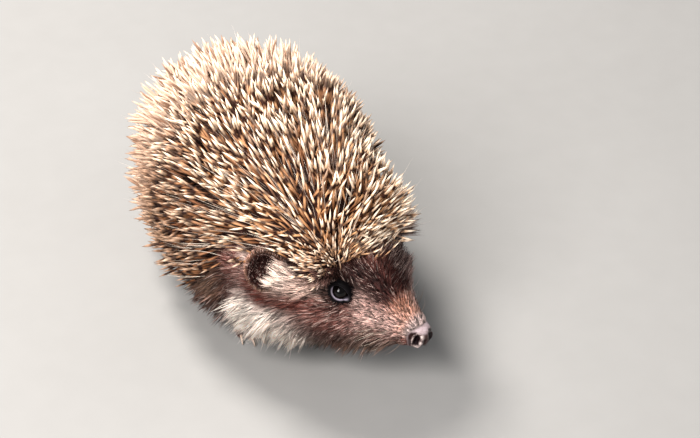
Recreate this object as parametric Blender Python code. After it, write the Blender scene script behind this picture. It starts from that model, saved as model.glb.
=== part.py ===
"""A young hedgehog standing on all fours, its head low and turned to its left.

The body is modelled whole, out to the tips of its coat, and then parted with thin cuts. Lengths in
the tables below are in millimetres and are turned into metres where a shape is made. The animal
faces -Y, its own left is +X, and its soles stand on z = 0.
"""

import math

import bmesh
import bpy
import numpy as np
from mathutils import Matrix, Vector

MM = 0.001
GAP = 0.3
SHARP_ANGLE = 50
CUT_MERGE = 1e-7
SMOOTHING = 0.5
BALL_SIDES = 20
LIMB_SIDES = 16
TOE_SIDES = 10

# The whole plan is moved by this, so that the middle of the box stands on the origin.
PLAN_OFFSET = Vector((-0.15, 4.8, 0))

RING_POINTS = 56
RINGS_PER_STATION = 5
ROUND_TOP = 2.5
FLAT_BELLY = 3.2
BELLY_HOLLOW = 6
HOLLOW_WIDTH = 6
WIDEST = 40.5

# Middle x, y and z of a ring round the trunk, its heading and its downward pitch in degrees, then
# half its width, its rise to the tips of the quills and its drop to the tips of the belly fur.
TRUNK_STATIONS = [
    (8.6, 66.5, 30, -9, 0, 1, 1, 1),
    (8.2, 64.5, 29, -9, 0, 13, 17, 11),
    (7.0, 57, 28, -8, 0, 24.5, 30, 18),
    (5.0, 45, 27, -7, 0, 33, 41, 20.5),
    (2.8, 28, 27, -5, 0, 38.5, 47, 21.5),
    (0.8, 12, 27, -1, 0, 40.5, 49.5, 21.5),
    (-0.8, -2, 27, 4, 0, 40.5, 49.5, 21.5),
    (-1.8, -14, 28, 11, 2, 38, 48.5, 22.5),
    (-2.6, -24.5, 29.5, 18, 6, 33, 46.5, 23),
    (-3.0, -32.6, 31.5, 22, 10, 28.5, 43.5, 22.5),
    (-0.7, -39, 35, 22, 12, 27, 37.5, 20),
    (1.4, -43.5, 39, 22, 13, 25.5, 30.5, 16),
    (3.6, -48.8, 43, 22, 13, 24.5, 22, 9),
    (5.6, -53.6, 45, 22, 13, 22.5, 14.5, 5),
    (7.0, -57.2, 45.5, 22, 13, 14, 8, 3),
]

# The head frame: the tip of the nose, and how far the head turns to its left and tips down.
NOSE_TIP = (15, -77, 21.5)
HEAD_YAW = 22
HEAD_PITCH = 13

# Distance back from the tip of the nose, how far the widest level lies under the head's axis, half
# width, rise and drop, over the short face fur.
HEAD_STATIONS = [
    (0, 0, 1.6, 1.6, 1.6),
    (1, 0, 3.3, 3.1, 3.1),
    (3, 0, 4.4, 4.1, 4.2),
    (7.5, 0.3, 5.9, 5.8, 6.0),
    (15, 1.0, 10.4, 10.6, 8.8),
    (25, 2.2, 18.6, 18.4, 14.5),
    (34, 2.6, 23.6, 22.5, 19),
    (45, 2, 26.0, 25, 22),
    (55, 1, 26.5, 25, 23),
]
HEAD_ROUNDNESS = 2.15

# Size of the voxels that fuse a shape, its triangles and its rounds of smoothing.
WHOLE_SKIN = (1.3, 2750, 3)
LEG_SKIN = (0.6, 270, 3)
TAIL_SKIN = (0.7, 200, 2)

NOSE_CUT = 6.2
JAW_BACK = 24
JAW_CLEAR = 1.5
JAW_BOX = (60, 30)
MOUTH_DROP = 2.6
MOUTH_SLOPE = 9
BEHIND_EARS = 52
NECK_BACK = (-2, -17.5, 29)
NECK_BACK_HEADING = 18

EYE_RADIUS = 2.9
EYE_PLACE = (28.4, 12.8, 9.0)
EYE_FACING = (0.45, 0.8, 0.4)
EYE_SIDES = 12
ORBIT_RADIUS = 5.6
ORBIT_AHEAD = 6.0

EAR_PLACE = (48.5, 27.4, 12.5)
EAR_HALF_SIZE = (3.6, 6.3, 7.4)
EAR_HOLLOW = 1.9
EAR_WALL = 0.7
EAR_SIDES = 14
EAR_TURN = 28
EAR_LEAN = 12

TAIL_ROOT = (8, 56, 19)
TAIL_TIP = (8.6, 66.5, 11)
TAIL_RADII = (4.0, 1.6)
TAIL_SIDES = 12

DIGITS = 5
CLAW_RINGS = 3
CLAW_SIDES = 6
CLAW_RADII = (0.72, 0.25)
CLAW_FLOOR = 0.45
CLAW_AHEAD = 0.7
CLAW_ARCH = 0.35
ANKLE = 5.4
PAW_MIDDLE = 2.6
PAW_HALF_HEIGHT = 3.4

# A toe: its rise and radius at root and tip, how far out on the paw it starts, how far the outer
# toes stay back, the fan's half angle in degrees, and how much shorter the outer toes are.
TOE_RISE = (2.3, 1.75)
TOE_RADII = (1.75, 1.4)
TOE_START = 0.72
TOE_BACK = 0.4
TOE_FAN = 24
TOE_SHORTER = 0.32

# Shoulder or hip, ankle, half width of the leg at each, then the paw: heading, half width, half
# length, how far its middle lies ahead of the ankle, and the length of a toe and of a claw.
LEGS = {
    "foreleg_right": dict(top=(-20, -13, 25), ankle=(-21, -17, 6), radii=(8, 4.6), heading=6,
                          paw=(5.0, 5.2), ahead=1.5, toe=5.0, claw=3.4),
    "foreleg_left": dict(top=(18, -9, 25), ankle=(21.5, -9, 6), radii=(8, 4.6), heading=10,
                         paw=(5.0, 5.2), ahead=1.5, toe=5.0, claw=3.4),
    "hindleg_right": dict(top=(-19, 30, 26), ankle=(-21, 37, 6), radii=(11, 5.0), heading=-12,
                          paw=(4.7, 8.4), ahead=5.5, toe=4.4, claw=3.0),
    "hindleg_left": dict(top=(23, 33, 26), ankle=(25, 43, 6), radii=(11, 5.0), heading=8,
                         paw=(4.7, 8.4), ahead=5.5, toe=4.4, claw=3.0),
}

COLOURS = {
    "quill_coat": ((0.20, 0.13, 0.08, 1), 0.6),
    "face_fur": ((0.13, 0.08, 0.055, 1), 0.7),
    "paw_skin": ((0.16, 0.10, 0.085, 1), 0.6),
    "nose_skin": ((0.10, 0.065, 0.08, 1), 0.35),
    "eye": ((0.006, 0.005, 0.006, 1), 0.05),
    "claw": ((0.20, 0.14, 0.10, 1), 0.4),
}


def clear_scene():
    for thing in list(bpy.data.objects):
        bpy.data.objects.remove(thing, do_unlink=True)


def metres(point):
    """A point of the plan, in millimetres, as a place in the scene, in metres."""
    return (Vector(point) + PLAN_OFFSET) * MM


def material(slot):
    found = bpy.data.materials.get(slot)
    if found:
        return found
    made = bpy.data.materials.new(slot)
    made.use_nodes = True
    shader = made.node_tree.nodes["Principled BSDF"]
    colour, roughness = COLOURS[slot]
    shader.inputs["Base Color"].default_value = colour
    shader.inputs["Roughness"].default_value = roughness
    shader.inputs["Metallic"].default_value = 0.0
    return made


def object_from(bm, name, slot=None):
    """A mesh object in the scene, from a bmesh that is then freed."""
    mesh = bpy.data.meshes.new(name)
    bm.to_mesh(mesh)
    bm.free()
    made = bpy.data.objects.new(name, mesh)
    bpy.context.scene.collection.objects.link(made)
    if slot:
        mesh.materials.append(material(slot))
        mesh.shade_smooth()
        mesh.set_sharp_from_angle(angle=math.radians(SHARP_ANGLE))
    return made


def evaluated_bmesh(thing):
    """The object's mesh with its modifiers, as a bmesh; the object itself is removed."""
    bpy.context.view_layer.update()
    graph = bpy.context.evaluated_depsgraph_get()
    bm = bmesh.new()
    bm.from_object(thing, graph)
    bpy.data.objects.remove(thing, do_unlink=True)
    return bm


def frame_axes(heading, pitch):
    """Forward, left and up of a part that faces -Y before it turns by heading and tips by pitch."""
    turn, tip = math.radians(heading), math.radians(pitch)
    forward = Vector((math.sin(turn) * math.cos(tip), -math.cos(turn) * math.cos(tip), -math.sin(tip)))
    left = Vector((math.cos(turn), math.sin(turn), 0))
    return forward, left, left.cross(-forward)


def head_point(back, left, up):
    """A place in the head frame, in the plan's millimetres."""
    forward, to_left, upward = frame_axes(HEAD_YAW, HEAD_PITCH)
    return Vector(NOSE_TIP) - forward * back + to_left * left + upward * up


def ring(centre, heading, pitch, half_width, rise, drop, roundness, hollow=0.0):
    """Points of one rounded cross-section, anticlockwise from the animal's left."""
    _, left, up = frame_axes(heading, pitch)
    points = []
    for k in range(RING_POINTS):
        angle = 2 * math.pi * k / RING_POINTS
        across, along = math.cos(angle), math.sin(angle)
        power = 2 / roundness[along < 0]
        side = math.copysign(abs(across) ** power, across) * half_width
        if along > 0:
            height = along ** power * rise
        else:
            height = -(abs(along) ** power) * drop + hollow * along ** HOLLOW_WIDTH
        points.append(Vector(centre) + left * side + up * height)
    return points


def spread_rows(rows, per_row):
    """The rows of a table with smooth ones between them; no value runs past its neighbours."""
    table = np.array(rows, dtype=float)
    steps = np.diff(table, axis=0)
    slopes = np.zeros_like(table)
    same_way = steps[:-1] * steps[1:] > 0
    both = np.where(same_way, steps[:-1] + steps[1:], 1)
    slopes[1:-1] = np.where(same_way, 2 * steps[:-1] * steps[1:] / both, 0)
    slopes[0], slopes[-1] = steps[0], steps[-1]
    found = []
    for i in range(len(table) - 1):
        for k in range(per_row):
            t = k / per_row
            found.append(
                table[i] * (2 * t ** 3 - 3 * t ** 2 + 1) + slopes[i] * (t ** 3 - 2 * t ** 2 + t)
                + table[i + 1] * (3 * t ** 2 - 2 * t ** 3) + slopes[i + 1] * (t ** 3 - t ** 2)
            )
    return found + [table[-1]]


def loft(name, rings):
    """A closed solid through the rings, capped at both ends."""
    bm = bmesh.new()
    loops = []
    for points in rings:
        verts = [bm.verts.new(metres(p)) for p in points]
        loops.append([bm.edges.new((verts[i - 1], verts[i])) for i in range(len(verts))])
    for first, second in zip(loops, loops[1:]):
        bmesh.ops.bridge_loops(bm, edges=first + second)
    bmesh.ops.holes_fill(bm, edges=loops[0] + loops[-1])
    bmesh.ops.recalc_face_normals(bm, faces=bm.faces)
    return object_from(bm, name)


def trunk_loft():
    roundness = (ROUND_TOP, FLAT_BELLY)
    rows = spread_rows(TRUNK_STATIONS, RINGS_PER_STATION)
    return loft("trunk_loft", [ring(r[:3], *r[3:8], roundness, BELLY_HOLLOW * r[5] / WIDEST) for r in rows])


def head_loft():
    rows = spread_rows(HEAD_STATIONS, RINGS_PER_STATION)
    return loft("head_loft", [
        ring(head_point(r[0], 0, -r[1]), HEAD_YAW, HEAD_PITCH, *r[2:5], (HEAD_ROUNDNESS,) * 2) for r in rows
    ])


def joined(things):
    """One bmesh that holds all the shapes, still as separate shells."""
    whole = bmesh.new()
    for thing in things:
        mesh = thing.data
        whole.from_mesh(mesh)
        bpy.data.objects.remove(thing, do_unlink=True)
    return whole


def fused(name, things, voxel, triangles, smoothing):
    """The shapes grown into one skin, smoothed and thinned to a number of triangles."""
    thing = object_from(joined(things), name)
    remesh = thing.modifiers.new("fuse", "REMESH")
    remesh.mode = "VOXEL"
    remesh.voxel_size = voxel * MM
    soften = thing.modifiers.new("soften", "SMOOTH")
    soften.factor = SMOOTHING
    soften.iterations = smoothing
    thing = object_from(evaluated_bmesh(thing), name)
    faces = sum(len(p.vertices) - 2 for p in thing.data.polygons)
    thin = thing.modifiers.new("thin", "DECIMATE")
    thin.ratio = triangles / faces
    return object_from(evaluated_bmesh(thing), name)


def grown(thing, by):
    """A copy of the object whose surface lies a little further out, to cut with."""
    bm = bmesh.new()
    bm.from_mesh(thing.data)
    bm.normal_update()
    for vert in bm.verts:
        vert.co += vert.normal * by * MM
    return object_from(bm, thing.name + "_grown")


def combined(thing, other, operation):
    """The first object after a Boolean with the second, which stays as it is."""
    cut = thing.modifiers.new("cut", "BOOLEAN")
    cut.operation = operation
    cut.solver = "EXACT"
    cut.object = other
    name = thing.name
    return object_from(evaluated_bmesh(thing), name)


def copy_of(thing, name):
    bm = bmesh.new()
    bm.from_mesh(thing.data)
    return object_from(bm, name)


def cut_by_plane(thing, point, outward):
    """The object without what lies beyond a plane; the cut is closed with a flat face."""
    bm = bmesh.new()
    bm.from_mesh(thing.data)
    name = thing.name
    bpy.data.objects.remove(thing, do_unlink=True)
    bmesh.ops.bisect_plane(
        bm, geom=bm.verts[:] + bm.edges[:] + bm.faces[:], dist=CUT_MERGE,
        plane_co=metres(point), plane_no=outward, clear_outer=True,
    )
    bmesh.ops.holes_fill(bm, edges=[e for e in bm.edges if e.is_boundary])
    bmesh.ops.triangulate(bm, faces=[f for f in bm.faces if len(f.verts) > 4])
    return object_from(bm, name)


def named(thing, name, slot):
    """The finished node: its name, its material and its smooth shading."""
    bm = bmesh.new()
    bm.from_mesh(thing.data)
    bpy.data.objects.remove(thing, do_unlink=True)
    return object_from(bm, name, slot)


def jaw_box(gap):
    """The wedge under the mouth line that holds the lower jaw, smaller by gap on its inner sides."""
    _, left, _ = frame_axes(HEAD_YAW, HEAD_PITCH)
    forward, _, up = frame_axes(HEAD_YAW, HEAD_PITCH + MOUTH_SLOPE)
    back_middle = head_point(JAW_BACK, 0, -MOUTH_DROP - JAW_BACK * math.sin(math.radians(MOUTH_SLOPE)))
    length = JAW_BACK - NOSE_CUT - JAW_CLEAR
    width, depth = JAW_BOX
    middle = back_middle + forward * (length / 2 + gap / 2) - up * (depth / 2 + gap / 2)
    bm = bmesh.new()
    bmesh.ops.create_cube(bm, size=1)
    size = Matrix.Diagonal((width * MM, (length - gap) * MM, depth * MM, 1))
    turn = Matrix((left, -forward, up)).transposed().to_4x4()
    bm.transform(Matrix.Translation(metres(middle)) @ turn @ size)
    return object_from(bm, "jaw_box")


def ball(name, centre, radii, axes=None, segments=BALL_SIDES):
    """An ellipsoid, its radii along the given left, back and up axes."""
    bm = bmesh.new()
    bmesh.ops.create_uvsphere(bm, u_segments=segments, v_segments=segments * 2 // 3, radius=1)
    size = Matrix.Diagonal((radii[0] * MM, radii[1] * MM, radii[2] * MM, 1))
    turn = Matrix(axes).transposed().to_4x4() if axes else Matrix.Identity(4)
    bm.transform(Matrix.Translation(metres(centre)) @ turn @ size)
    bmesh.ops.recalc_face_normals(bm, faces=bm.faces)
    return object_from(bm, name)


def eye_centre(side, ahead=0.0):
    """The middle of an eye, or a place ahead of it along the way that the eye looks."""
    back, out, up = EYE_PLACE
    forward, left, upward = frame_axes(HEAD_YAW, HEAD_PITCH)
    facing = forward * EYE_FACING[0] + left * side * EYE_FACING[1] + upward * EYE_FACING[2]
    return head_point(back, side * out, up) + facing.normalized() * ahead


def ear(side, body):
    """A thin cupped ear: one ellipsoid hollowed by another, cut off where the head begins."""
    back, out, up = EAR_PLACE
    forward, left, upward = frame_axes(HEAD_YAW, HEAD_PITCH)
    turn = Matrix.Rotation(math.radians(-side * EAR_TURN), 3, upward)
    lean = Matrix.Rotation(math.radians(side * EAR_LEAN), 3, forward)
    facing = turn @ lean @ (left * side)
    along = turn @ -forward
    axes = (facing, along, facing.cross(along) * side)
    thickness, half_width, half_height = EAR_HALF_SIZE
    centre = head_point(back, side * out, up)
    shell = ball("shell", centre, EAR_HALF_SIZE, axes, EAR_SIDES)
    inner = (thickness, half_width - EAR_WALL, half_height - EAR_WALL)
    hollow = ball("hollow", centre + facing * EAR_HOLLOW, inner, axes, EAR_SIDES)
    shell = combined(shell, hollow, "DIFFERENCE")
    bpy.data.objects.remove(hollow, do_unlink=True)
    wide_body = grown(body, GAP)
    shell = combined(shell, wide_body, "DIFFERENCE")
    bpy.data.objects.remove(wide_body, do_unlink=True)
    return shell


def largest_piece(thing):
    """The object without any crumbs that a cut has left beside its main body."""
    bm = bmesh.new()
    bm.from_mesh(thing.data)
    name = thing.name
    bpy.data.objects.remove(thing, do_unlink=True)
    left_over, islands = set(bm.verts), []
    while left_over:
        island, front = set(), [left_over.pop()]
        while front:
            vert = front.pop()
            island.add(vert)
            near = {e.other_vert(vert) for e in vert.link_edges} & left_over
            left_over -= near
            front.extend(near)
        islands.append(island)
    islands.sort(key=len)
    for island in islands[:-1]:
        bmesh.ops.delete(bm, geom=list(island), context="VERTS")
    return object_from(bm, name)


def tapered(name, start, end, radii, sides=LIMB_SIDES):
    """A rounded limb: a cone between two places, with a ball at each."""
    start, end = Vector(start), Vector(end)
    along = (start - end).normalized()
    bm = bmesh.new()
    turn = along.to_track_quat("Z", "Y").to_matrix().to_4x4()
    middle = Matrix.Translation(metres((start + end) / 2)) @ turn
    bmesh.ops.create_cone(
        bm, cap_ends=True, segments=sides, radius1=radii[1] * MM, radius2=radii[0] * MM,
        depth=(start - end).length * MM, matrix=middle,
    )
    for place, radius in ((start, radii[0]), (end, radii[1])):
        spot = Matrix.Translation(metres(place))
        bmesh.ops.create_uvsphere(bm, u_segments=sides, v_segments=sides * 2 // 3, radius=radius * MM, matrix=spot)
    return object_from(bm, name)


def toe_line(leg, digit):
    """Root and tip of one toe: fanned out, the middle one longest."""
    forward, left, _ = frame_axes(leg["heading"], 0)
    half_width, half_length = leg["paw"]
    spread = (digit - (DIGITS - 1) / 2) / ((DIGITS - 1) / 2)
    middle = Vector(leg["ankle"]) + forward * leg["ahead"]
    middle.z = 0
    root = middle + left * spread * half_width * TOE_START
    root += forward * half_length * (TOE_START - TOE_BACK * spread ** 2)
    fan = math.radians(TOE_FAN * spread)
    way = forward * math.cos(fan) + left * math.sin(fan)
    tip = root + way * leg["toe"] * (1 - TOE_SHORTER * spread ** 2)
    root.z, tip.z = TOE_RISE
    return root, tip, way


def whole_leg(name, leg):
    """Leg, paw and toes in one skin, with a flat sole at the floor."""
    forward, left, _ = frame_axes(leg["heading"], 0)
    half_width, half_length = leg["paw"]
    centre = Vector(leg["ankle"]) + forward * leg["ahead"]
    centre.z = PAW_MIDDLE
    radii = (half_width, half_length, PAW_HALF_HEIGHT)
    things = [tapered("limb", leg["top"], leg["ankle"], leg["radii"])]
    things.append(ball("paw", centre, radii, (left, -forward, Vector((0, 0, 1)))))
    for digit in range(DIGITS):
        root, tip, _ = toe_line(leg, digit)
        things.append(tapered("toe", root, tip, TOE_RADII, TOE_SIDES))
    whole = fused(name, things, *LEG_SKIN)
    return cut_by_plane(whole, (0, 0, 0), Vector((0, 0, -1)))


def claw(name, leg, digit, paw):
    """A curved, tapered claw that leaves the end of a toe and stays clear of the floor."""
    _, tip, way = toe_line(leg, digit)
    sideways = Vector((0, 0, 1)).cross(way)
    length = leg["claw"]
    top = tip.z + CLAW_ARCH
    rings = []
    for k in range(CLAW_RINGS + 1):
        t = k / CLAW_RINGS
        radius = CLAW_RADII[0] + (CLAW_RADII[1] - CLAW_RADII[0]) * t
        height = top - (top - CLAW_FLOOR - CLAW_RADII[1]) * t ** 2
        middle = tip + way * (CLAW_AHEAD + length * t)
        middle.z = height
        turns = (2 * math.pi * i / CLAW_SIDES for i in range(CLAW_SIDES))
        rings.append([middle + sideways * radius * math.cos(a) + Vector((0, 0, radius * math.sin(a))) for a in turns])
    made = loft(name, rings)
    wide_paw = grown(paw, GAP)
    made = combined(made, wide_paw, "DIFFERENCE")
    bpy.data.objects.remove(wide_paw, do_unlink=True)
    return named(largest_piece(made), name, "claw")


def tail(body):
    shape = fused("tail", [tapered("tail", TAIL_ROOT, TAIL_TIP, TAIL_RADII, TAIL_SIDES)], *TAIL_SKIN)
    wide_body = grown(body, GAP)
    shape = combined(shape, wide_body, "DIFFERENCE")
    bpy.data.objects.remove(wide_body, do_unlink=True)
    return named(largest_piece(shape), "tail", "face_fur")


def part_legs():
    """Every leg as two nodes, leg and paw, with five claws on each paw; the whole legs are returned."""
    wholes = []
    for name, leg in LEGS.items():
        whole = whole_leg(name, leg)
        wholes.append(copy_of(whole, name + "_whole"))
        lower = cut_by_plane(copy_of(whole, "lower"), (0, 0, ANKLE - GAP / 2), Vector((0, 0, 1)))
        upper = cut_by_plane(whole, (0, 0, ANKLE + GAP / 2), Vector((0, 0, -1)))
        named(upper, name, "face_fur")
        paw = named(lower, name.replace("leg", "paw"), "paw_skin")
        for digit in range(DIGITS):
            claw(f"{name.replace('leg', 'claw')}_{digit + 1}", leg, digit, paw)
    return wholes


def part_head(whole):
    """Nose, lower jaw, eyes, ears and the rest of the head, cut from the front of the whole."""
    forward, _, _ = frame_axes(HEAD_YAW, HEAD_PITCH)
    half = GAP / 2
    head = cut_by_plane(copy_of(whole, "head"), head_point(BEHIND_EARS - half, 0, 0), -forward)
    nose = cut_by_plane(copy_of(head, "nose"), head_point(NOSE_CUT - half, 0, 0), -forward)
    named(nose, "nose", "nose_skin")
    head = cut_by_plane(head, head_point(NOSE_CUT + half, 0, 0), forward)
    inner_box, outer_box = jaw_box(GAP), jaw_box(-GAP)
    jaw = combined(copy_of(head, "lower_jaw"), inner_box, "INTERSECT")
    named(largest_piece(jaw), "lower_jaw", "face_fur")
    head = combined(head, outer_box, "DIFFERENCE")
    for box in (inner_box, outer_box):
        bpy.data.objects.remove(box, do_unlink=True)
    for side, word in ((1, "left"), (-1, "right")):
        socket = ball("socket", eye_centre(side), (EYE_RADIUS + GAP,) * 3)
        orbit = ball("orbit", eye_centre(side, ORBIT_AHEAD), (ORBIT_RADIUS,) * 3)
        for hollow in (socket, orbit):
            head = combined(head, hollow, "DIFFERENCE")
            bpy.data.objects.remove(hollow, do_unlink=True)
        named(ball("eye", eye_centre(side), (EYE_RADIUS,) * 3, None, EYE_SIDES), f"eye_{word}", "eye")
        named(largest_piece(ear(side, whole)), f"ear_{word}", "face_fur")
    named(largest_piece(head), "head", "face_fur")


def part_trunk(whole, legs):
    """Neck and trunk, with room for the tops of the legs."""
    forward, _, _ = frame_axes(HEAD_YAW, HEAD_PITCH)
    backward = -frame_axes(NECK_BACK_HEADING, 0)[0]
    half = GAP / 2
    neck = cut_by_plane(copy_of(whole, "neck"), head_point(BEHIND_EARS + half, 0, 0), forward)
    neck = cut_by_plane(neck, Vector(NECK_BACK) - backward * half, backward)
    trunk = cut_by_plane(whole, Vector(NECK_BACK) + backward * half, -backward)
    for leg in legs:
        room = grown(leg, GAP)
        neck = combined(neck, room, "DIFFERENCE")
        trunk = combined(trunk, room, "DIFFERENCE")
        for done in (room, leg):
            bpy.data.objects.remove(done, do_unlink=True)
    named(largest_piece(neck), "neck", "quill_coat")
    named(largest_piece(trunk), "trunk", "quill_coat")


def main():
    clear_scene()
    whole = fused("whole", [trunk_loft(), head_loft()], *WHOLE_SKIN)
    tail(whole)
    legs = part_legs()
    part_head(whole)
    part_trunk(whole, legs)
    for thing in bpy.data.objects:
        print(thing.name, len(thing.data.polygons), "faces")


main()
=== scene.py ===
# %% [markdown]
# # A young hedgehog in its coat
#
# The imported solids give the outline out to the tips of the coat. Here the animal gets one smooth skin
# that lies under the coat, and then everything that grows from it: quills, fur and whiskers, each
# strand a small closed mesh. Eyes and claws are pieces of their own. The tables of the plan are
# repeated from the part's source in its millimetres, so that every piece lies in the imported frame.

import math

import bmesh
import bpy
import numpy as np
from mathutils import Matrix, Vector
from mathutils.bvhtree import BVHTree
from mathutils.kdtree import KDTree


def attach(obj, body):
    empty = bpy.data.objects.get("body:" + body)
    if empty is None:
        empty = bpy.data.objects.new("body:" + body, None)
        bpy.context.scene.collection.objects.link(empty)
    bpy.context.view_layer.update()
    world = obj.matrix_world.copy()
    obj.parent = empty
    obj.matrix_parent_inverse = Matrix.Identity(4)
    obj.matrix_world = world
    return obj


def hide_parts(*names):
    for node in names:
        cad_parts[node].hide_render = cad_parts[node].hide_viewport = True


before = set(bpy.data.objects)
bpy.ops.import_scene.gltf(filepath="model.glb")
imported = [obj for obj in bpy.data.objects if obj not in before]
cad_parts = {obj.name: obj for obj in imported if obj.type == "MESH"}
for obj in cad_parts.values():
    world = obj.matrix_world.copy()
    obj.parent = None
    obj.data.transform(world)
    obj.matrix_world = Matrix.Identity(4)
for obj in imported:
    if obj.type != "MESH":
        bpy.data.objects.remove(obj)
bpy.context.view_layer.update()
scene = bpy.context.scene
print("solids in the frame:", len(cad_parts))

# %% [markdown]
# ## The plan
#
# Places are written in the plan's millimetres. `axes` gives the directions of a part that is turned
# and tipped, and the head has its own frame: how far back from the tip of the nose, how far to the
# animal's left, how far up. A side is 1 for the animal's left and -1 for its right.

# %% Plan values and frames
MM = 0.001
PLAN_OFFSET = np.array((-0.15, 4.8, 0.0))
NOSE_TIP = np.array((15.0, -77.0, 21.5))
HEAD_YAW = 22
HEAD_PITCH = 13
SIDES = {1: "left", -1: "right"}
rng = np.random.default_rng(20)


def metres(points):
    """Places of the plan in metres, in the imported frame."""
    return (np.asarray(points, dtype=float) + PLAN_OFFSET) * MM


def plan(points):
    """The way back, from metres to the plan."""
    return np.asarray(points, dtype=float) / MM - PLAN_OFFSET


def axes(heading, pitch):
    """Forward, left and up of a part that faces -Y before it turns by heading and tips by pitch."""
    turn, tip = math.radians(heading), math.radians(pitch)
    forward = np.array((math.sin(turn) * math.cos(tip), -math.cos(turn) * math.cos(tip), -math.sin(tip)))
    left = np.array((math.cos(turn), math.sin(turn), 0.0))
    return forward, left, np.cross(left, -forward)


FORWARD, LEFT, UP = axes(HEAD_YAW, HEAD_PITCH)


def from_head(back, left, up):
    """The place in the plan of a point given in the head's frame."""
    return NOSE_TIP - FORWARD * back + LEFT * left + UP * up


def in_head(points):
    """Back, left and up of each point in the head's frame."""
    away = np.asarray(points) - NOSE_TIP
    return -away @ FORWARD, away @ LEFT, away @ UP


def unit(vectors):
    vectors = np.asarray(vectors, dtype=float)
    return vectors / np.maximum(np.linalg.norm(vectors, axis=-1, keepdims=True), 1e-9)


def ramp(values, low, high):
    """0 below low, 1 above high, with a soft S between them."""
    t = np.clip((np.asarray(values, dtype=float) - low) / (high - low), 0, 1)
    return t * t * (3 - 2 * t)


def bump(distance, width):
    """1 at no distance, falling softly to nearly 0 at twice the width."""
    return np.exp(-((np.asarray(distance) / width) ** 2))


print("head points along", np.round(FORWARD, 2))

# %% Rows of the skin
# x, y, z, heading, pitch, half width, rise, drop of each ring round the trunk's skin.
TRUNK_SKIN = [
    (7.3, 59.5, 29, -8, 0, 1, 1, 1),
    (7.1, 57.8, 29, -8, 0, 12, 14.5, 10),
    (6.6, 52.5, 28, -8, 0, 21, 25, 15.5),
    (5.0, 43, 27, -7, 0, 28, 34, 17.5),
    (2.8, 28, 27, -5, 0, 32, 38.5, 18),
    (0.8, 12, 27, -1, 0, 33, 40.5, 18),
    (-0.8, -2, 27, 4, 0, 33, 40.5, 18),
    (-1.8, -14, 28, 11, 2, 32, 40, 18.5),
    (-2.6, -24.5, 29.5, 18, 6, 28, 37.5, 18.5),
    (-3.0, -32.6, 31.5, 22, 10, 25.5, 34, 17.5),
    (-0.7, -39, 34, 22, 12, 24, 28.5, 15.5),
    (2.6, -44.5, 36, 22, 13, 23, 21.5, 11),
    (4.6, -48.8, 38, 22, 13, 18.5, 13.5, 6),
    (5.6, -51.8, 38, 22, 13, 6, 4, 2),
]
# Back from the nose, how far the widest level lies under the axis, half width, rise, drop.
HEAD_SKIN = [
    (0, 0, 1.6, 1.6, 1.6),
    (1, 0, 3.3, 3.1, 3.1),
    (3, 0, 4.4, 4.1, 4.2),
    (7.5, 0.3, 5.4, 5.4, 5.4),
    (15, 1.0, 9.4, 9.5, 7.6),
    (22, 1.9, 14.6, 14.8, 10.2),
    (29.5, 2.4, 19.6, 18.8, 13.0),
    (36, 2.6, 21.8, 20.8, 15.2),
    (45, 2, 23.4, 22.6, 17.5),
    (55, 1, 23.5, 22.5, 18.5),
]
RING_POINTS = 72
RINGS_PER_ROW = 6
TRUNK_ROUNDNESS = (2.5, 3.2)
HEAD_ROUNDNESS = (2.15, 2.15)
BELLY_HOLLOW = 5.0
WIDEST = 32.5


def spread_rows(rows, per_row):
    """The rows of a table with smooth ones between them; no value runs past its neighbours."""
    table = np.array(rows, dtype=float)
    steps = np.diff(table, axis=0)
    slopes = np.zeros_like(table)
    same_way = steps[:-1] * steps[1:] > 0
    both = np.where(same_way, steps[:-1] + steps[1:], 1)
    slopes[1:-1] = np.where(same_way, 2 * steps[:-1] * steps[1:] / both, 0)
    slopes[0], slopes[-1] = steps[0], steps[-1]
    found = []
    for i in range(len(table) - 1):
        for t in np.arange(per_row) / per_row:
            found.append(
                table[i] * (2 * t ** 3 - 3 * t ** 2 + 1) + slopes[i] * (t ** 3 - 2 * t ** 2 + t)
                + table[i + 1] * (3 * t ** 2 - 2 * t ** 3) + slopes[i + 1] * (t ** 3 - t ** 2)
            )
    return np.array(found + [table[-1]])


def ring(centre, heading, pitch, half_width, rise, drop, roundness, hollow=0.0):
    """Points of one rounded cross-section, from the animal's left over its back."""
    _, left, up = axes(heading, pitch)
    angle = 2 * np.pi * np.arange(RING_POINTS) / RING_POINTS
    across, along = np.cos(angle), np.sin(angle)
    power = 2 / np.where(along < 0, roundness[1], roundness[0])
    side = np.sign(across) * np.abs(across) ** power * half_width
    height = np.abs(along) ** power * np.where(along > 0, rise, -drop)
    height = height + np.where(along < 0, hollow * along ** 6, 0)
    return np.asarray(centre) + np.outer(side, left) + np.outer(height, up)


trunk_rows = spread_rows(TRUNK_SKIN, RINGS_PER_ROW)
head_rows = spread_rows(HEAD_SKIN, RINGS_PER_ROW)
trunk_rings = [ring(r[:3], *r[3:8], TRUNK_ROUNDNESS, BELLY_HOLLOW * r[5] / WIDEST) for r in trunk_rows]
head_rings = [
    ring(from_head(r[0], 0, -r[1]), HEAD_YAW, HEAD_PITCH, *r[2:5], HEAD_ROUNDNESS) for r in head_rows
]
print("rings:", len(trunk_rings), "round the trunk,", len(head_rings), "round the head")

# %% [markdown]
# ## One skin
#
# The skin of trunk, head, legs and ears is modelled as rings, tubes and balls that overlap, and a voxel
# remesh grows them into one closed surface, as clay is smeared over a build. This leaves no seam to
# hide. What has to stay crisp, the lids, nostrils, mouth and ear rims, is worked in afterwards.

# %% Helpers that start and finish a mesh
def object_from(bm, name):
    """A new object with the bmesh as its mesh."""
    mesh = bpy.data.meshes.new(name)
    bm.to_mesh(mesh)
    bm.free()
    made = bpy.data.objects.new(name, mesh)
    scene.collection.objects.link(made)
    return made


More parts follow.
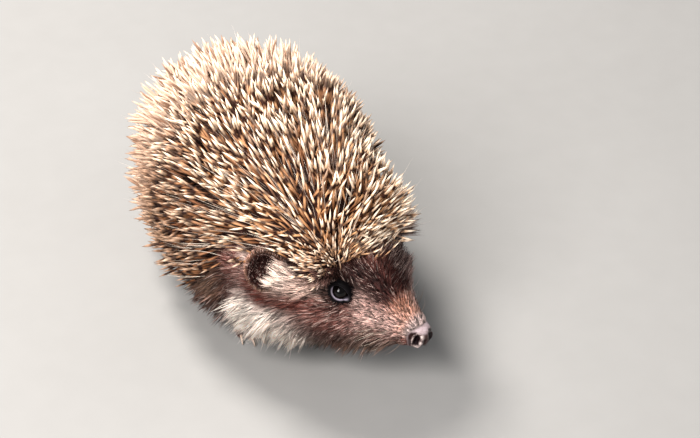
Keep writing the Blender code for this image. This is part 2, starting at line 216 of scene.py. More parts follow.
def baked(thing):
    """The object's mesh with its modifiers, as a bmesh; the object itself is removed."""
    bpy.context.view_layer.update()
    bm = bmesh.new()
    bm.from_object(thing, bpy.context.evaluated_depsgraph_get())
    bpy.data.objects.remove(thing, do_unlink=True)
    return bm


def in_fixed_order(bm, label=None):
    """The same mesh with its points and faces sorted by place, so that every run grows the same coat.
    The values its points keep under the label go with them."""
    bm.verts.index_update()
    points = np.round([v.co[:] for v in bm.verts], 6)
    order = np.lexsort(points.T)
    number = np.empty(len(order), dtype=int)
    number[order] = np.arange(len(order))
    faces = []
    for face in bm.faces:
        corners = [int(number[v.index]) for v in face.verts]
        first = corners.index(min(corners))
        faces.append(corners[first:] + corners[:first])
    layer = bm.verts.layers.float.get(label) if label else None
    kept = [v[layer] for v in bm.verts] if label else []
    bm.free()
    fresh = bmesh.new()
    layer = fresh.verts.layers.float.new(label) if label else None
    verts = [fresh.verts.new(points[i]) for i in order]
    for v, i in zip(verts, order if label else ()):
        v[layer] = kept[i]
    for corners in sorted(faces):
        fresh.faces.new([verts[c] for c in corners])
    return fresh


def loft(bm, rings):
    """Adds a closed tube through the rings."""
    loops = []
    for points in rings:
        verts = [bm.verts.new(p) for p in metres(points)]
        loops.append([bm.edges.new((verts[i - 1], verts[i])) for i in range(len(verts))])
    for first, second in zip(loops, loops[1:]):
        bmesh.ops.bridge_loops(bm, edges=first + second)
    bmesh.ops.holes_fill(bm, edges=loops[0] + loops[-1])


def placed(centre, columns, sizes):
    """A matrix that scales by sizes, turns onto the three directions and moves to centre."""
    turn = Matrix([[c[i] for c in columns] for i in range(3)]).to_4x4()
    size = Matrix.Diagonal((*[s * MM for s in sizes], 1))
    return Matrix.Translation(metres(centre)) @ turn @ size


def add_ball(bm, centre, sizes, columns=np.eye(3), sides=20):
    matrix = placed(centre, columns, sizes)
    bmesh.ops.create_uvsphere(bm, u_segments=sides, v_segments=sides * 2 // 3, radius=1, matrix=matrix)


def add_limb(bm, start, end, radii, sides=20):
    """Adds a cone from start to end with a ball at each."""
    start, end = np.asarray(start, dtype=float), np.asarray(end, dtype=float)
    along = unit(start - end)
    aside = unit(np.cross(along, (0.3, 1, 0.2)))
    columns = (aside, np.cross(along, aside), along)
    length = np.linalg.norm(start - end)
    bmesh.ops.create_cone(
        bm, cap_ends=True, segments=sides, radius1=radii[1] * MM, radius2=radii[0] * MM,
        depth=length * MM, matrix=placed((start + end) / 2, columns, (1 / MM,) * 3),
    )
    for place, radius in ((start, radii[0]), (end, radii[1])):
        add_ball(bm, place, (radius,) * 3, sides=sides)


# %% Legs and paws
DIGITS = 5
PAW_MIDDLE = 2.6
PAW_HALF_HEIGHT = 3.3
TOE_RISE = (2.3, 1.75)
TOE_RADII = (1.65, 1.35)
TOE_START = 0.72
TOE_BACK = 0.4
TOE_FAN = 24
TOE_SHORTER = 0.32
LEGS = {
    "foreleg_right": dict(top=(-20, -13, 25), ankle=(-21, -17, 6), radii=(6.5, 3.7), heading=6,
                          paw=(4.9, 5.1), ahead=1.5, toe=5.0, claw=3.4),
    "foreleg_left": dict(top=(18, -9, 25), ankle=(21.5, -9, 6), radii=(6.5, 3.7), heading=10,
                         paw=(4.9, 5.1), ahead=1.5, toe=5.0, claw=3.4),
    "hindleg_right": dict(top=(-19, 30, 26), ankle=(-21, 37, 6), radii=(9.5, 4.2), heading=-12,
                          paw=(4.6, 8.3), ahead=5.5, toe=4.4, claw=3.0),
    "hindleg_left": dict(top=(23, 33, 26), ankle=(25, 43, 6), radii=(9.5, 4.2), heading=8,
                         paw=(4.6, 8.3), ahead=5.5, toe=4.4, claw=3.0),
}


def toe_line(leg, digit):
    """Root and tip of one toe and the way it points: fanned out, the middle one longest."""
    forward, left, _ = axes(leg["heading"], 0)
    half_width, half_length = leg["paw"]
    spread = (digit - (DIGITS - 1) / 2) / ((DIGITS - 1) / 2)
    root = np.array(leg["ankle"], dtype=float) + forward * leg["ahead"]
    root += left * spread * half_width * TOE_START
    root += forward * half_length * (TOE_START - TOE_BACK * spread ** 2)
    fan = math.radians(TOE_FAN * spread)
    way = forward * math.cos(fan) + left * math.sin(fan)
    tip = root + way * leg["toe"] * (1 - TOE_SHORTER * spread ** 2)
    root[2], tip[2] = TOE_RISE
    return root, tip, way


def add_leg(bm, leg):
    """Adds a leg, its paw and five toes."""
    forward, left, _ = axes(leg["heading"], 0)
    add_limb(bm, leg["top"], leg["ankle"], leg["radii"])
    centre = np.array(leg["ankle"], dtype=float) + forward * leg["ahead"]
    centre[2] = PAW_MIDDLE
    add_ball(bm, centre, (*leg["paw"], PAW_HALF_HEIGHT), (left, -forward, (0, 0, 1)))
    for digit in range(DIGITS):
        root, tip, _ = toe_line(leg, digit)
        add_limb(bm, root, tip, TOE_RADII, sides=12)


# %% Fuse trunk, head, legs and tail
SKIN_VOXEL = 0.85
SKIN_SMOOTHING = 5
TAIL_ROOT = (8, 54, 19)
TAIL_TIP = (8.6, 66, 11.2)
TAIL_RADII = (3.6, 1.1)

clay = bmesh.new()
loft(clay, trunk_rings)
loft(clay, head_rings)
add_limb(clay, TAIL_ROOT, TAIL_TIP, TAIL_RADII)
for leg in LEGS.values():
    add_leg(clay, leg)
bmesh.ops.recalc_face_normals(clay, faces=clay.faces)
body = object_from(clay, "clay")
remesh = body.modifiers.new("fuse", "REMESH")
remesh.mode = "VOXEL"
remesh.voxel_size = SKIN_VOXEL * MM
soften = body.modifiers.new("soften", "SMOOTH")
soften.factor = 0.5
soften.iterations = SKIN_SMOOTHING
body = object_from(baked(body), "body")
print("fused skin:", len(body.data.polygons), "faces")

# %% [markdown]
# A hedgehog's ears are short and round, and their cups open forwards and out. Each is half an egg that
# is cut across, with its rim folded in and pushed down into a hollow. It is joined to the skin by a
# boolean union afterwards, because the remesh would close so thin a rim.

# %% Ears
EAR_PLACE = (48.5, 26.6, 12.5)
EAR_HALF_SIZE = (4.2, 6.0, 7.4)
EAR_TURN = 28
EAR_LEAN = 12
EAR_MOUTH = 0.30
# How wide each ring of the hollow is beside the rim, and how deep it lies, in millimetres.
EAR_RINGS = [(0.97, -0.35), (0.90, -0.3), (0.84, 0.3), (0.78, 1.2), (0.66, 2.4), (0.48, 3.2), (0.25, 3.6)]


def ear_axes(side):
    """Outward, backward and upward of the ear on one side."""
    turn = np.array(Matrix.Rotation(math.radians(-side * EAR_TURN), 3, Vector(UP)))
    lean = np.array(Matrix.Rotation(math.radians(side * EAR_LEAN), 3, Vector(FORWARD)))
    outward = turn @ lean @ (LEFT * side)
    backward = turn @ -FORWARD
    return outward, backward, np.cross(outward, backward) * side


def ear_shape(side):
    """An ear as an object of its own: half an egg with a hollow pressed in from its rim."""
    back, out, up = EAR_PLACE
    centre = from_head(back, side * out, up)
    outward, backward, upward = ear_axes(side)
    bm = bmesh.new()
    add_ball(bm, centre, EAR_HALF_SIZE, (outward, backward, upward), sides=36)
    mouth = centre + outward * EAR_HALF_SIZE[0] * EAR_MOUTH
    cut = bmesh.ops.bisect_plane(
        bm, geom=bm.verts[:] + bm.edges[:] + bm.faces[:], dist=1e-7,
        plane_co=metres(mouth), plane_no=Vector(outward), clear_outer=True,
    )
    rim = [e for e in cut["geom_cut"] if isinstance(e, bmesh.types.BMEdge)]
    middle = Vector(metres(mouth))
    start = {v: v.co - middle for e in rim for v in e.verts}
    for width, depth in EAR_RINGS:
        grown = bmesh.ops.extrude_edge_only(bm, edges=rim)["geom"]
        verts = [v for v in grown if isinstance(v, bmesh.types.BMVert)]
        rim = [e for e in grown if isinstance(e, bmesh.types.BMEdge)]
        kept = {v: min(start, key=lambda old: (old.co - v.co).length) for v in verts}
        fresh = {v: start[old] for v, old in kept.items()}
        for v, offset in fresh.items():
            v.co = middle + offset * width - Vector(outward) * depth * MM
        start = fresh
    bmesh.ops.holes_fill(bm, edges=rim)
    bmesh.ops.recalc_face_normals(bm, faces=bm.faces)
    return object_from(bm, "ear_shape")


for side in SIDES:
    ear = ear_shape(side)
    merge = body.modifiers.new("ear", "BOOLEAN")
    merge.operation = "UNION"
    merge.solver = "EXACT"
    merge.object = ear
    grown = in_fixed_order(baked(body))
    bpy.data.objects.remove(ear, do_unlink=True)
    body = object_from(grown, "body")
print("with ears:", len(body.data.polygons), "faces")

# %% [markdown]
# ## The face
#
# A hedgehog's face is short fur over fine folds: lids round a shiny black eye, a nose pad with curled
# nostrils, the line of the mouth. The fused skin is too coarse for these, so its faces are cut finer
# there, twice round nose and eyes, and the folds are pressed in with soft strokes along short paths.

# %% Points and normals of a mesh as arrays
def read_points(mesh):
    flat = np.empty(len(mesh.vertices) * 3)
    mesh.vertices.foreach_get("co", flat)
    return plan(flat.reshape(-1, 3))


def write_points(mesh, points):
    mesh.vertices.foreach_set("co", metres(points).ravel())
    mesh.update()


def read_normals(mesh):
    flat = np.empty(len(mesh.vertices) * 3)
    mesh.vertices.foreach_get("normal", flat)
    return flat.reshape(-1, 3)


# %% Eyes: their place and their own directions
EYE_RADIUS = 2.9
EYE_PLACE = (28.4, 12.7, 9.0)
EYE_FACING = (0.45, 0.8, 0.4)
LID_TILT = -15


def eye_frame(side):
    """Centre of the eyeball, the way it looks, towards the nose along the lids, and upwards."""
    back, out, up = EYE_PLACE
    facing = unit(FORWARD * EYE_FACING[0] + LEFT * side * EYE_FACING[1] + UP * EYE_FACING[2])
    inward = unit(FORWARD - facing * (FORWARD @ facing))
    upward = np.cross(inward, facing) * side
    tilt = math.radians(LID_TILT)
    along = inward * math.cos(tilt) + upward * math.sin(tilt)
    return from_head(back, side * out, up), facing, along, upward * math.cos(tilt) - inward * math.sin(tilt)


# %% Cut the face finer
FACE_BACK = 33
NOSE_BACK = 12
EYE_REACH = 7.5


def cut_finer(mesh, chosen):
    """Splits the edges whose two ends are chosen, and evens the new points out."""
    bm = bmesh.new()
    bm.from_mesh(mesh)
    bm.verts.ensure_lookup_table()
    edges = [e for e in bm.edges if chosen[e.verts[0].index] and chosen[e.verts[1].index]]
    bmesh.ops.subdivide_edges(bm, edges=edges, cuts=1, use_grid_fill=True)
    pick = dict.fromkeys(v for e in edges if e.is_valid for v in e.verts)
    near = [v for v in bm.verts if v in pick or any(e.other_vert(v) in pick for e in v.link_edges)]
    for _ in range(3):
        bmesh.ops.smooth_vert(
            bm, verts=near, factor=0.5, use_axis_x=True, use_axis_y=True, use_axis_z=True
        )
    bm.to_mesh(mesh)
    bm.free()


points = read_points(body.data)
cut_finer(body.data, in_head(points)[0] < FACE_BACK)
points = read_points(body.data)
fine = in_head(points)[0] < NOSE_BACK
for side in SIDES:
    centre, facing, _, _ = eye_frame(side)
    fine |= (np.linalg.norm(points - centre, axis=1) < EYE_REACH) & ((points - centre) @ facing > -2)
cut_finer(body.data, fine)
print("skin cut finer:", len(body.data.vertices), "points")

# %% [markdown]
# The nose pad is turned a little to one side, as a hedgehog's twitching nose often is. Each nostril is
# a comma: an oval pit in front and a slit that curls back round the wing of the nose, with a raised
# wet rim between them, a low wall towards the middle and a low lip below. A groove splits the pad
# underneath and runs into the mouth.

# %% Strokes that press the skin in or raise it
NOSE_CENTRE = from_head(5.0, 0, 0)
NOSE_BALL = 4.9
NOSE_TURN = -20


def on_nose(angle, height, side):
    """A point on the nose pad: angle to one side of its middle in degrees, and height above it."""
    turn = math.radians(NOSE_TURN + side * angle)
    around_up = FORWARD * math.cos(turn) + LEFT * math.sin(turn)
    level = math.sqrt(max(NOSE_BALL ** 2 - height ** 2, 0))
    return NOSE_CENTRE + around_up * level + UP * height


def distance_to_path(points, path):
    """How far each point lies from a chain of straight runs."""
    path = np.asarray(path, dtype=float)
    nearest = np.full(len(points), np.inf)
    for start, end in zip(path, path[1:]):
        run = end - start
        share = np.clip((points - start) @ run / (run @ run), 0, 1)
        nearest = np.minimum(nearest, np.linalg.norm(points - start - np.outer(share, run), axis=1))
    return nearest


def stroke(points, normals, path, width, depth):
    """Pushes the surface down by depth along the path, or up where depth is negative."""
    return points - normals * (depth * bump(distance_to_path(points, path), width))[:, None]


# %% Nose, nostrils and mouth
# Each stroke: its points as angle and height on the pad, its width and its depth.
NOSE_STROKES = {
    "pit": ([(31, 1.6), (34, 0.2), (33, -1.3)], 0.95, 1.7),
    "rim": ([(36, 2.6), (47, 1.6), (50, 0.0), (46, -2.2)], 0.42, -0.45),
    "slit": ([(40, 3.0), (57, 1.8), (61, -0.4), (54, -2.8), (40, -3.2)], 0.42, 0.75),
    "wall": ([(16, 2.2), (17, 0.0), (20, -2.2)], 0.7, -0.3),
    "lip": ([(19, -2.6), (30, -3.1), (42, -2.9)], 0.5, -0.25),
}
# The mouth, the lip over it and the pad of the whiskers: points back, out and up, width and depth.
MUZZLE_STROKES = [
    ([(1.5, 0.0, -4.0), (5, 2.6, -4.9), (11, 5.2, -5.7), (18, 9.2, -7.0), (25, 13.6, -8.3)], 0.55, 0.9),
    ([(3.5, 1.8, -3.6), (9, 5.0, -3.9), (16, 8.8, -4.6)], 1.3, -0.4),
    ([(9.5, 6.6, -1.0), (15.5, 6.6, -1.0)], 2.6, -0.5),
]
GROOVE_HEIGHTS = (0.8, -1.2, -3.0, -4.2)
GROOVE_WIDTH = 0.38
GROOVE_DEPTH = 0.7


def nose_path(name, side):
    """The points of one stroke on one side of the pad."""
    return [on_nose(angle, height, side) for angle, height in NOSE_STROKES[name][0]]


points = read_points(body.data)
for side in SIDES:
    for name, (_, width, depth) in NOSE_STROKES.items():
        points = stroke(points, read_normals(body.data), nose_path(name, side), width, depth)
        write_points(body.data, points)
    normals = read_normals(body.data)
    for places, width, depth in MUZZLE_STROKES:
        path = [from_head(back, side * out, up) for back, out, up in places]
        points = stroke(points, normals, path, width, depth)
groove = [on_nose(0, height, 0) for height in GROOVE_HEIGHTS]
points = stroke(points, read_normals(body.data), groove, GROOVE_WIDTH, GROOVE_DEPTH)
write_points(body.data, points)
print("strokes on the nose:", 2 * len(NOSE_STROKES) + 1)

# %% [markdown]
# The lids are folds of the skin itself. The skin over each eye is cut away, and the edge of the hole is
# drawn inwards ring by ring: over the orbit, up the lid, across its moist pale margin and then down
# behind the eyeball into a closed pocket. The opening is an almond with a drawn-out inner corner.

# %% The opening between the lids
LID_HOLE = 5.4
OPENING = (2.6, 1.9, 2.2)
CORNER = (0.95, 0.34)
MARGIN = 0.5
BALL_FLOOR = 1.1


def opening_reach(angle):
    """How far the lids' edge lies from the middle of the opening, by angle from the inner corner."""
    tall = np.where(np.sin(angle) > 0, OPENING[1], OPENING[2])
    oval = 1 / np.sqrt((np.cos(angle) / OPENING[0]) ** 2 + (np.sin(angle) / tall) ** 2)
    off_corner = (angle + np.pi) % (2 * np.pi) - np.pi
    return oval + CORNER[0] * np.exp(-((off_corner / CORNER[1]) ** 2))


def over_ball(reach):
    """Height of the eyeball's surface at that distance from the middle of the opening."""
    return np.sqrt(np.maximum(EYE_RADIUS ** 2 - reach ** 2, BALL_FLOOR))


print("opening:", np.round(opening_reach(np.radians((0, 90, 180, 270))), 1), "mm from its middle")

# %% A round hole over each eye
HOLE_SEARCH = 3 * LID_HOLE
EDGE_SEARCH = 2.5 * LID_HOLE
HOLE_FLOOR = -1.5
HOLE_WAVES = (1, 2, 3)


def orbit_hole(bm, spot, basis):
    """Cuts the skin away over one eye and returns the edges of the hole."""
    doomed = []
    for face in bm.faces:
        away = face.calc_center_median() - spot
        if away.length < HOLE_SEARCH * MM:
            across = math.hypot(away @ basis[0], away @ basis[1])
            if across < LID_HOLE * MM and away @ basis[2] > HOLE_FLOOR * MM:
                doomed.append(face)
    bmesh.ops.delete(bm, geom=doomed, context="FACES")
    return [e for e in bm.edges if e.is_boundary and (e.verts[0].co - spot).length < EDGE_SEARCH * MM]


def rounded_hole(edge, spot, basis):
    """Evens the hole to a round, smooth line; returns each point's place from the middle of the eye."""
    loop = list(dict.fromkeys(v for e in edge for v in e.verts))
    seen = np.array([[(v.co - spot) @ d / MM for d in basis] for v in loop])
    turn = np.arctan2(seen[:, 1], seen[:, 0])
    waves = np.stack([np.ones(len(turn))] + [f(k * turn) for k in HOLE_WAVES for f in (np.cos, np.sin)], 1)
    level = waves @ np.linalg.lstsq(waves, seen[:, 2], rcond=None)[0]
    start = {}
    for v, angle, height in zip(loop, turn, level):
        start[v] = (basis[0] * math.cos(angle) + basis[1] * math.sin(angle)) * LID_HOLE + basis[2] * height
        v.co = spot + start[v] * MM
    return start


# %% Rings of the lids
# Share of the way from the margin out to the hole, and the swelling there in millimetres.
LID_STEPS = [(0.8, 0.0), (0.6, -0.05), (0.44, -0.2), (0.32, 0.0), (0.2, 0.12), (0.09, 0.14), (0, 0.05)]
TINTED_SHARE = 0.44
LID_THICKNESS = 0.32
LID_SLOPE = 1.3
MARGIN_RISE = 0.1
TUCKED_IN = 0.12
TUCKED_DOWN = 0.25
BALL_EDGE = 0.14
# Radius of each ring of the closed pocket round the eyeball, and its height over the ball's middle.
POCKET_RINGS = [(3.25, 0.0), (2.2, -2.7)]
# Each ring: its kind, share or radius, how strongly it is tinted, and its swelling or height.
LID_RINGS = [("lid", share, max(0.0, 1.0 - share / TINTED_SHARE), swell) for share, swell in LID_STEPS]
LID_RINGS += [("margin", 0, 2.0, 0), ("under", 0, 2.0, 0)]
LID_RINGS += [("pocket", radius, 0.0, height) for radius, height in POCKET_RINGS]


def lid_place(origin, spot, basis, mark):
    """Where a ring passes the line that runs from the eye's middle through origin."""
    kind, value, _, swell = mark
    inward, upward, ahead = origin @ basis[0], origin @ basis[1], origin @ basis[2]
    angle = math.atan2(upward, inward)
    reach = float(opening_reach(angle))
    high = float(over_ball(reach))
    if kind == "lid":
        outer = reach + MARGIN
        ease = value ** LID_SLOPE
        radius = outer + (LID_HOLE - outer) * value
        height = (high + LID_THICKNESS) * (1 - ease) + ahead * ease + swell
    elif kind == "margin":
        radius, height = reach, high + MARGIN_RISE
    elif kind == "under":
        radius = min(reach - TUCKED_IN, EYE_RADIUS - BALL_EDGE)
        height = math.sqrt(EYE_RADIUS ** 2 - radius * radius) - TUCKED_DOWN
    else:
        radius, height = value, swell
    turned = basis[0] * math.cos(angle) + basis[1] * math.sin(angle)
    return spot + (turned * radius + basis[2] * height) * MM


def draw_ring(bm, edges, places, spot, basis, mark, layer):
    """Extrudes the rim once and puts each new point where the ring's mark says."""
    grown = bmesh.ops.extrude_edge_only(bm, edges=edges)["geom"]
    fresh = [v for v in grown if isinstance(v, bmesh.types.BMVert)]
    moved = {}
    for v in fresh:
        old = min(places, key=lambda other: (other.co - v.co).length)
        moved[v] = places[old]
    for v, origin in moved.items():
        v.co = lid_place(origin, spot, basis, mark)
        v[layer] = mark[2]
    return [e for e in grown if isinstance(e, bmesh.types.BMEdge)], moved


# %% Lids
def add_lids(bm, side, layer):
    """Works both lids of one eye into the skin and returns how many points go round it."""
    centre, facing, along, upward = eye_frame(side)
    spot = Vector(metres(centre))
    basis = [Vector(d) for d in (along, upward, facing)]
    edge = orbit_hole(bm, spot, basis)
    start = rounded_hole(edge, spot, basis)
    count = len(start)
    for mark in LID_RINGS:
        edge, start = draw_ring(bm, edge, start, spot, basis, mark, layer)
    bmesh.ops.holes_fill(bm, edges=edge)
    return count


bm = bmesh.new()
bm.from_mesh(body.data)
lid_layer = bm.verts.layers.float.new("Lid")
for side in SIDES:
    print("points round an eye:", add_lids(bm, side, lid_layer))
bmesh.ops.recalc_face_normals(bm, faces=bm.faces)
print("open edges left:", sum(not e.is_manifold for e in bm.edges))
bm = in_fixed_order(bm, "Lid")
bm.to_mesh(body.data)
bm.free()

# %% Flat soles
# What lies lowest is pressed flat, a hair's breadth above the floor.
FLOOR_GAP = 0.02
SOLE_HEIGHT = 1.2
points = read_points(body.data)
low = points[:, 2] < SOLE_HEIGHT
points[low, 2] = FLOOR_GAP + SOLE_HEIGHT * ramp(points[low, 2], -1.0, 1.6) ** 1.5
write_points(body.data, points)
body.data.shade_smooth()
skin = body
skin.name = "skin"
skin.data.name = "skin"
print("skin:", sum(len(p.vertices) - 2 for p in skin.data.polygons), "triangles")

# %% [markdown]
# ## Where things are on the animal
#
# Coat and colour depend on the place: how far behind the nose, how far round the body, how close to
# the eye or to an ear. These places are worked out once, by short functions, and both the coat's
# shape and its markings ask them, so that skin and coat always agree.

# %% Distance along the body and angle round it
AXIS = np.array([from_head(b, 0, -1.5) for b in (0, 12, 25, 38, 49)] + [
    (-1.8, -14, 29), (-0.8, -2, 28), (0.8, 12, 28), (2.8, 28, 28), (5.0, 42, 28), (7.2, 58, 28),
])
AXIS_AT = np.concatenate([[0], np.cumsum(np.linalg.norm(np.diff(AXIS, axis=0), axis=1))])
# How many of its own lengths the first and the last run reach past the axis.
PAST_ENDS = 9


def round_body(points):
    """Distance from the nose along the body's axis, and the angle round it.
    The angle is 0 at the animal's left and grows up over its back."""
    points = np.asarray(points)
    best = np.full(len(points), np.inf)
    along = np.zeros(len(points))
    angle = np.zeros(len(points))
    for i, (start, end) in enumerate(zip(AXIS, AXIS[1:])):
        run = end - start
        length = np.linalg.norm(run)
        share = (points - start) @ run / length ** 2
        low = -PAST_ENDS if i == 0 else 0
        high = PAST_ENDS if i == len(AXIS) - 2 else 1
        away = points - start - np.outer(np.clip(share, low, high), run)
        far = np.linalg.norm(points - start - np.outer(np.clip(share, 0, 1), run), axis=1)
        left = unit(np.cross((0, 0, 1.0), -run))
        above = np.cross(left, -run / length)
        closer = far < best
        best = np.where(closer, far, best)
        along = np.where(closer, AXIS_AT[i] + np.clip(share, 0, 1) * length, along)
        angle = np.where(closer, np.arctan2(away @ above, away @ left), angle)
    return along, angle


print("length of the axis:", round(AXIS_AT[-1], 1), "mm")

# %% Edge of the quills
# Height of the quills' lower edge above the floor, by distance behind the nose.
QUILL_EDGE = [
    (30, 41), (38, 43), (47, 48.5), (52, 37), (58, 28), (66, 20), (75, 15), (90, 13), (115, 13), (140, 17),
]
QUILL_FRONT = 27.5
FRONT_CURVE = 0.018


def above_edge(points):
    """How far inside the quilled area a point lies, in millimetres; negative outside."""
    along, _ = round_body(points)
    back, left, _ = in_head(points)
    height = points[:, 2] - np.interp(along, *np.transpose(QUILL_EDGE))
    front = back - QUILL_FRONT - FRONT_CURVE * left ** 2
    return np.minimum(height, front)


# %% Ears, legs and face as places
# Shares of an ear's half size: how far it reaches, where it leaves the head and how wide its cup is.
EAR_REACH = 1.1
EAR_ROOT = -0.75
CUP_REACH = 0.88


def ear_place(side):
    back, out, up = EAR_PLACE
    return from_head(back, side * out, up)


def in_ear(points, side):
    """Outward, backward and upward in the ear, as shares of its half size."""
    away = points - ear_place(side)
    return [away @ d / size for d, size in zip(ear_axes(side), EAR_HALF_SIZE)]


def on_ears(points):
    """1 on an ear, and 1 inside its cup."""
    ear, cup = np.zeros(len(points)), np.zeros(len(points))
    for side in SIDES:
        outward, backward, upward = in_ear(points, side)
        reach = np.sqrt(backward * backward + upward * upward)
        away = np.sqrt(outward * outward + backward * backward + upward * upward)
        near = (away < EAR_REACH) & (outward > EAR_ROOT)
        ear = np.maximum(ear, near * 1.0)
        cup = np.maximum(cup, near * (reach < CUP_REACH) * 1.0)
    return ear, cup


def along_legs(points):
    """For each point the nearest leg, and how close that is in leg radii."""
    which = np.zeros(len(points), dtype=int)
    close = np.full(len(points), np.inf)
    for i, leg in enumerate(LEGS.values()):
        ankle = np.array(leg["ankle"], dtype=float)
        run = np.array(leg["top"]) - ankle
        held = np.clip((points - ankle) @ run / (run @ run), 0, 1)
        radius = leg["radii"][1] + (leg["radii"][0] - leg["radii"][1]) * held
        away = np.linalg.norm(points - ankle - np.outer(held, run), axis=1) / radius
        forward, _, _ = axes(leg["heading"], 0)
        foot = ankle + forward * (leg["ahead"] + 2)
        foot[2] = PAW_MIDDLE
        to_foot = np.linalg.norm((points - foot) * (1, 1, 1.6), axis=1) / (leg["paw"][1] + leg["toe"])
        away = np.where(points[:, 2] < 7, np.minimum(away, to_foot * 1.2), away)
        closer = away < close
        which, close = np.where(closer, i, which), np.where(closer, away, close)
    return which, close


def patch(points, centre, size):
    """A soft spot on both sides of the head: 1 at its centre, given as back, out and up."""
    back, left, up = in_head(points)
    gap = [(v - c) / s for v, c, s in zip((back, np.abs(left), up), centre, size)]
    return np.exp(-(gap[0] ** 2 + gap[1] ** 2 + gap[2] ** 2))


# %% Zones of the coat
# Each patch: back, out and up of its centre in the head, and its size the same way.
FACE_PATCHES = {
    "mask": [((20, 4, 11), (5, 4.5, 3.6)), ((16.5, 3.5, 8.8), (3.2, 3.5, 2.6)),
             ((25, 7, 13.5), (4, 4.5, 3.2)), ((24.5, 11.5, 11), (3.2, 3, 2.6)),
             ((22, 9, 12.5), (3.2, 3, 2.6)), ((18.5, 8.5, 10.5), (3, 2.6, 2.2))],
    "streak": [((19.5, 10.5, 8), (4, 3, 3.2)), ((15, 8.5, 4), (4.5, 3, 3))],
    "under_eye": [((26, 16, 1.5), (6, 6, 4.5)), ((33, 18, 3), (5, 6, 4))],
    "between": [((35, 19, 8), (5, 6, 6))],
    "jaw": [((14, 5, -5.5), (5, 4, 3)), ((22, 8, -8), (6, 5, 3.5)), ((31, 11, -11.5), (6, 6, 4))],
    "cheek": [((44, 24, -6), (8, 8, 5)), ((38, 20, -11), (8, 8, 4.5)), ((51, 27, -7), (5, 6, 4))],
    "rust": [((48, 27, 2.0), (7, 6, 4)), ((41, 25, 4.0), (6, 6, 3.2)), ((37, 23, 3.5), (4.5, 5, 2.6))],
    "lower_muzzle": [((12, 8.5, -1.2), (4.5, 4, 2.0)), ((18, 11, -2.5), (4.5, 4, 2.4))],
    "tuft": [((42, 23, 11.5), (4.6, 6, 5.5)), ((46, 26, 8.6), (4.5, 5, 2.8))],
    "behind_ear": [((55, 28, 11), (3.5, 6, 5.5))],
    "temple": [((27, 15, 14), (5, 4, 4)), ((33, 18, 16), (5, 5, 4)), ((25, 3, 17), (4, 8, 4)),
               ((27, 14, 17), (4, 5, 4))],
}


def zones(points):
    """The coat's zones as masks from 0 to 1."""
    back, _, up = in_head(points)
    along, _ = round_body(points)
    inside = above_edge(points)
    _, leg = along_legs(points)
    ear, cup = on_ears(points)
    found = {
        name: np.clip(sum(patch(points, c, s) for c, s in spots) * 1.25, 0, 1)
        for name, spots in FACE_PATCHES.items()
    }
    on_leg = 1 - ramp(leg, 1.25, 1.7)
    on_leg *= 1 - ramp(points[:, 2], 9, 17)
    found["leg"] = on_leg
    found["foot"] = on_leg * (1 - ramp(points[:, 2], 4.5, 8))
    found["snout"] = (1 - ramp(back, 9, 16)) * ramp(up, -1, 3)
    found["muzzle"] = ramp(back, 6, 10) * (1 - ramp(back, 17, 24)) * (1 - ramp(up, 3, 8))
    found["throat"] = ramp(-up, 12, 17) * ramp(back, 20, 32) * (1 - ramp(along, 62, 74))
    found["body"] = ramp(along, 50, 62)
    found["skirt"] = found["body"] * ramp(inside, -15, -5) * (1 - on_leg)
    found["belly"] = found["body"] * (1 - ramp(inside, -15, -7)) * (1 - on_leg)
    found["quilled"] = ramp(inside, -1.0, 2.5) * (1 - np.maximum(ear, cup))
    found["ear"], found["cup"] = ear, cup
    found["nose_edge"] = 0.85 * (1 - ramp(back, 5, 9)) * ramp(up, -1, 2)
    height = np.maximum(*[in_ear(points, side)[2] for side in SIDES])
    found["ear_top"] = 0.7 * ear * (1 - cup) * ramp(height, 0.35, 0.75)
    return found


marks = zones(read_points(skin.data))
print("zones:", {name: int(mask.sum()) for name, mask in marks.items()})

# %% [markdown]
# ## Colours of the coat
#
# A young hedgehog is warm brown and cream: a dark mask between the eyes, a ginger snout, a patch of
# dark rust below each ear, cream cheeks and a buff tuft before each ear. Each zone has a tint, laid
# over the one before it where its mask is strong. Single hairs then differ a little from their zone.

# %% Tints and the zone that takes each
TINTS = {
    "brown": (0.30, 0.120, 0.098),
    "cream": (1.0, 0.90, 0.81),
    "buff": (0.76, 0.60, 0.51),
    "sand": (0.80, 0.56, 0.46),
    "fawn": (0.46, 0.27, 0.18),
    "rust": (0.115, 0.028, 0.020),
    "rosy": (0.62, 0.40, 0.35),
    "umber": (0.13, 0.045, 0.033),
    "blush": (0.86, 0.64, 0.56),
    "black_brown": (0.060, 0.019, 0.016),
    "ginger": (0.84, 0.37, 0.22),
    "ash": (0.36, 0.25, 0.20),
    "pearl": (0.70, 0.58, 0.57),
}
# The throat's dark umber is partly the fur's own colour and partly painted shade under the head.
ZONE_TINTS = [
    ("body", "fawn"), ("belly", "ash"), ("skirt", "fawn"), ("throat", "umber"), ("snout", "ginger"),
    ("muzzle", "rosy"), ("lower_muzzle", "umber"), ("between", "sand"), ("under_eye", "brown"),
    ("temple", "umber"), ("mask", "black_brown"), ("streak", "rosy"), ("jaw", "fawn"), ("cheek", "cream"),
    ("rust", "rust"), ("behind_ear", "blush"), ("tuft", "buff"), ("leg", "ash"), ("foot", "umber"),
    ("ear", "fawn"), ("cup", "black_brown"), ("ear_top", "umber"), ("nose_edge", "pearl"),
]
# Zones that take less than the whole of their tint.
STRENGTH = {"lower_muzzle": 0.7, "streak": 0.8, "temple": 0.6, "jaw": 0.7}


def coat_colour(masks, count):
    """The coat's colour at count points: each zone's tint over the one before it."""
    colour = np.tile(TINTS["brown"], (count, 1))
    for zone, tint in ZONE_TINTS:
        share = masks[zone] * STRENGTH.get(zone, 1.0)
        colour = colour + (np.array(TINTS[tint]) - colour) * share[:, None]
    return colour


print("tints:", len(TINTS), "for", len(ZONE_TINTS), "zones")

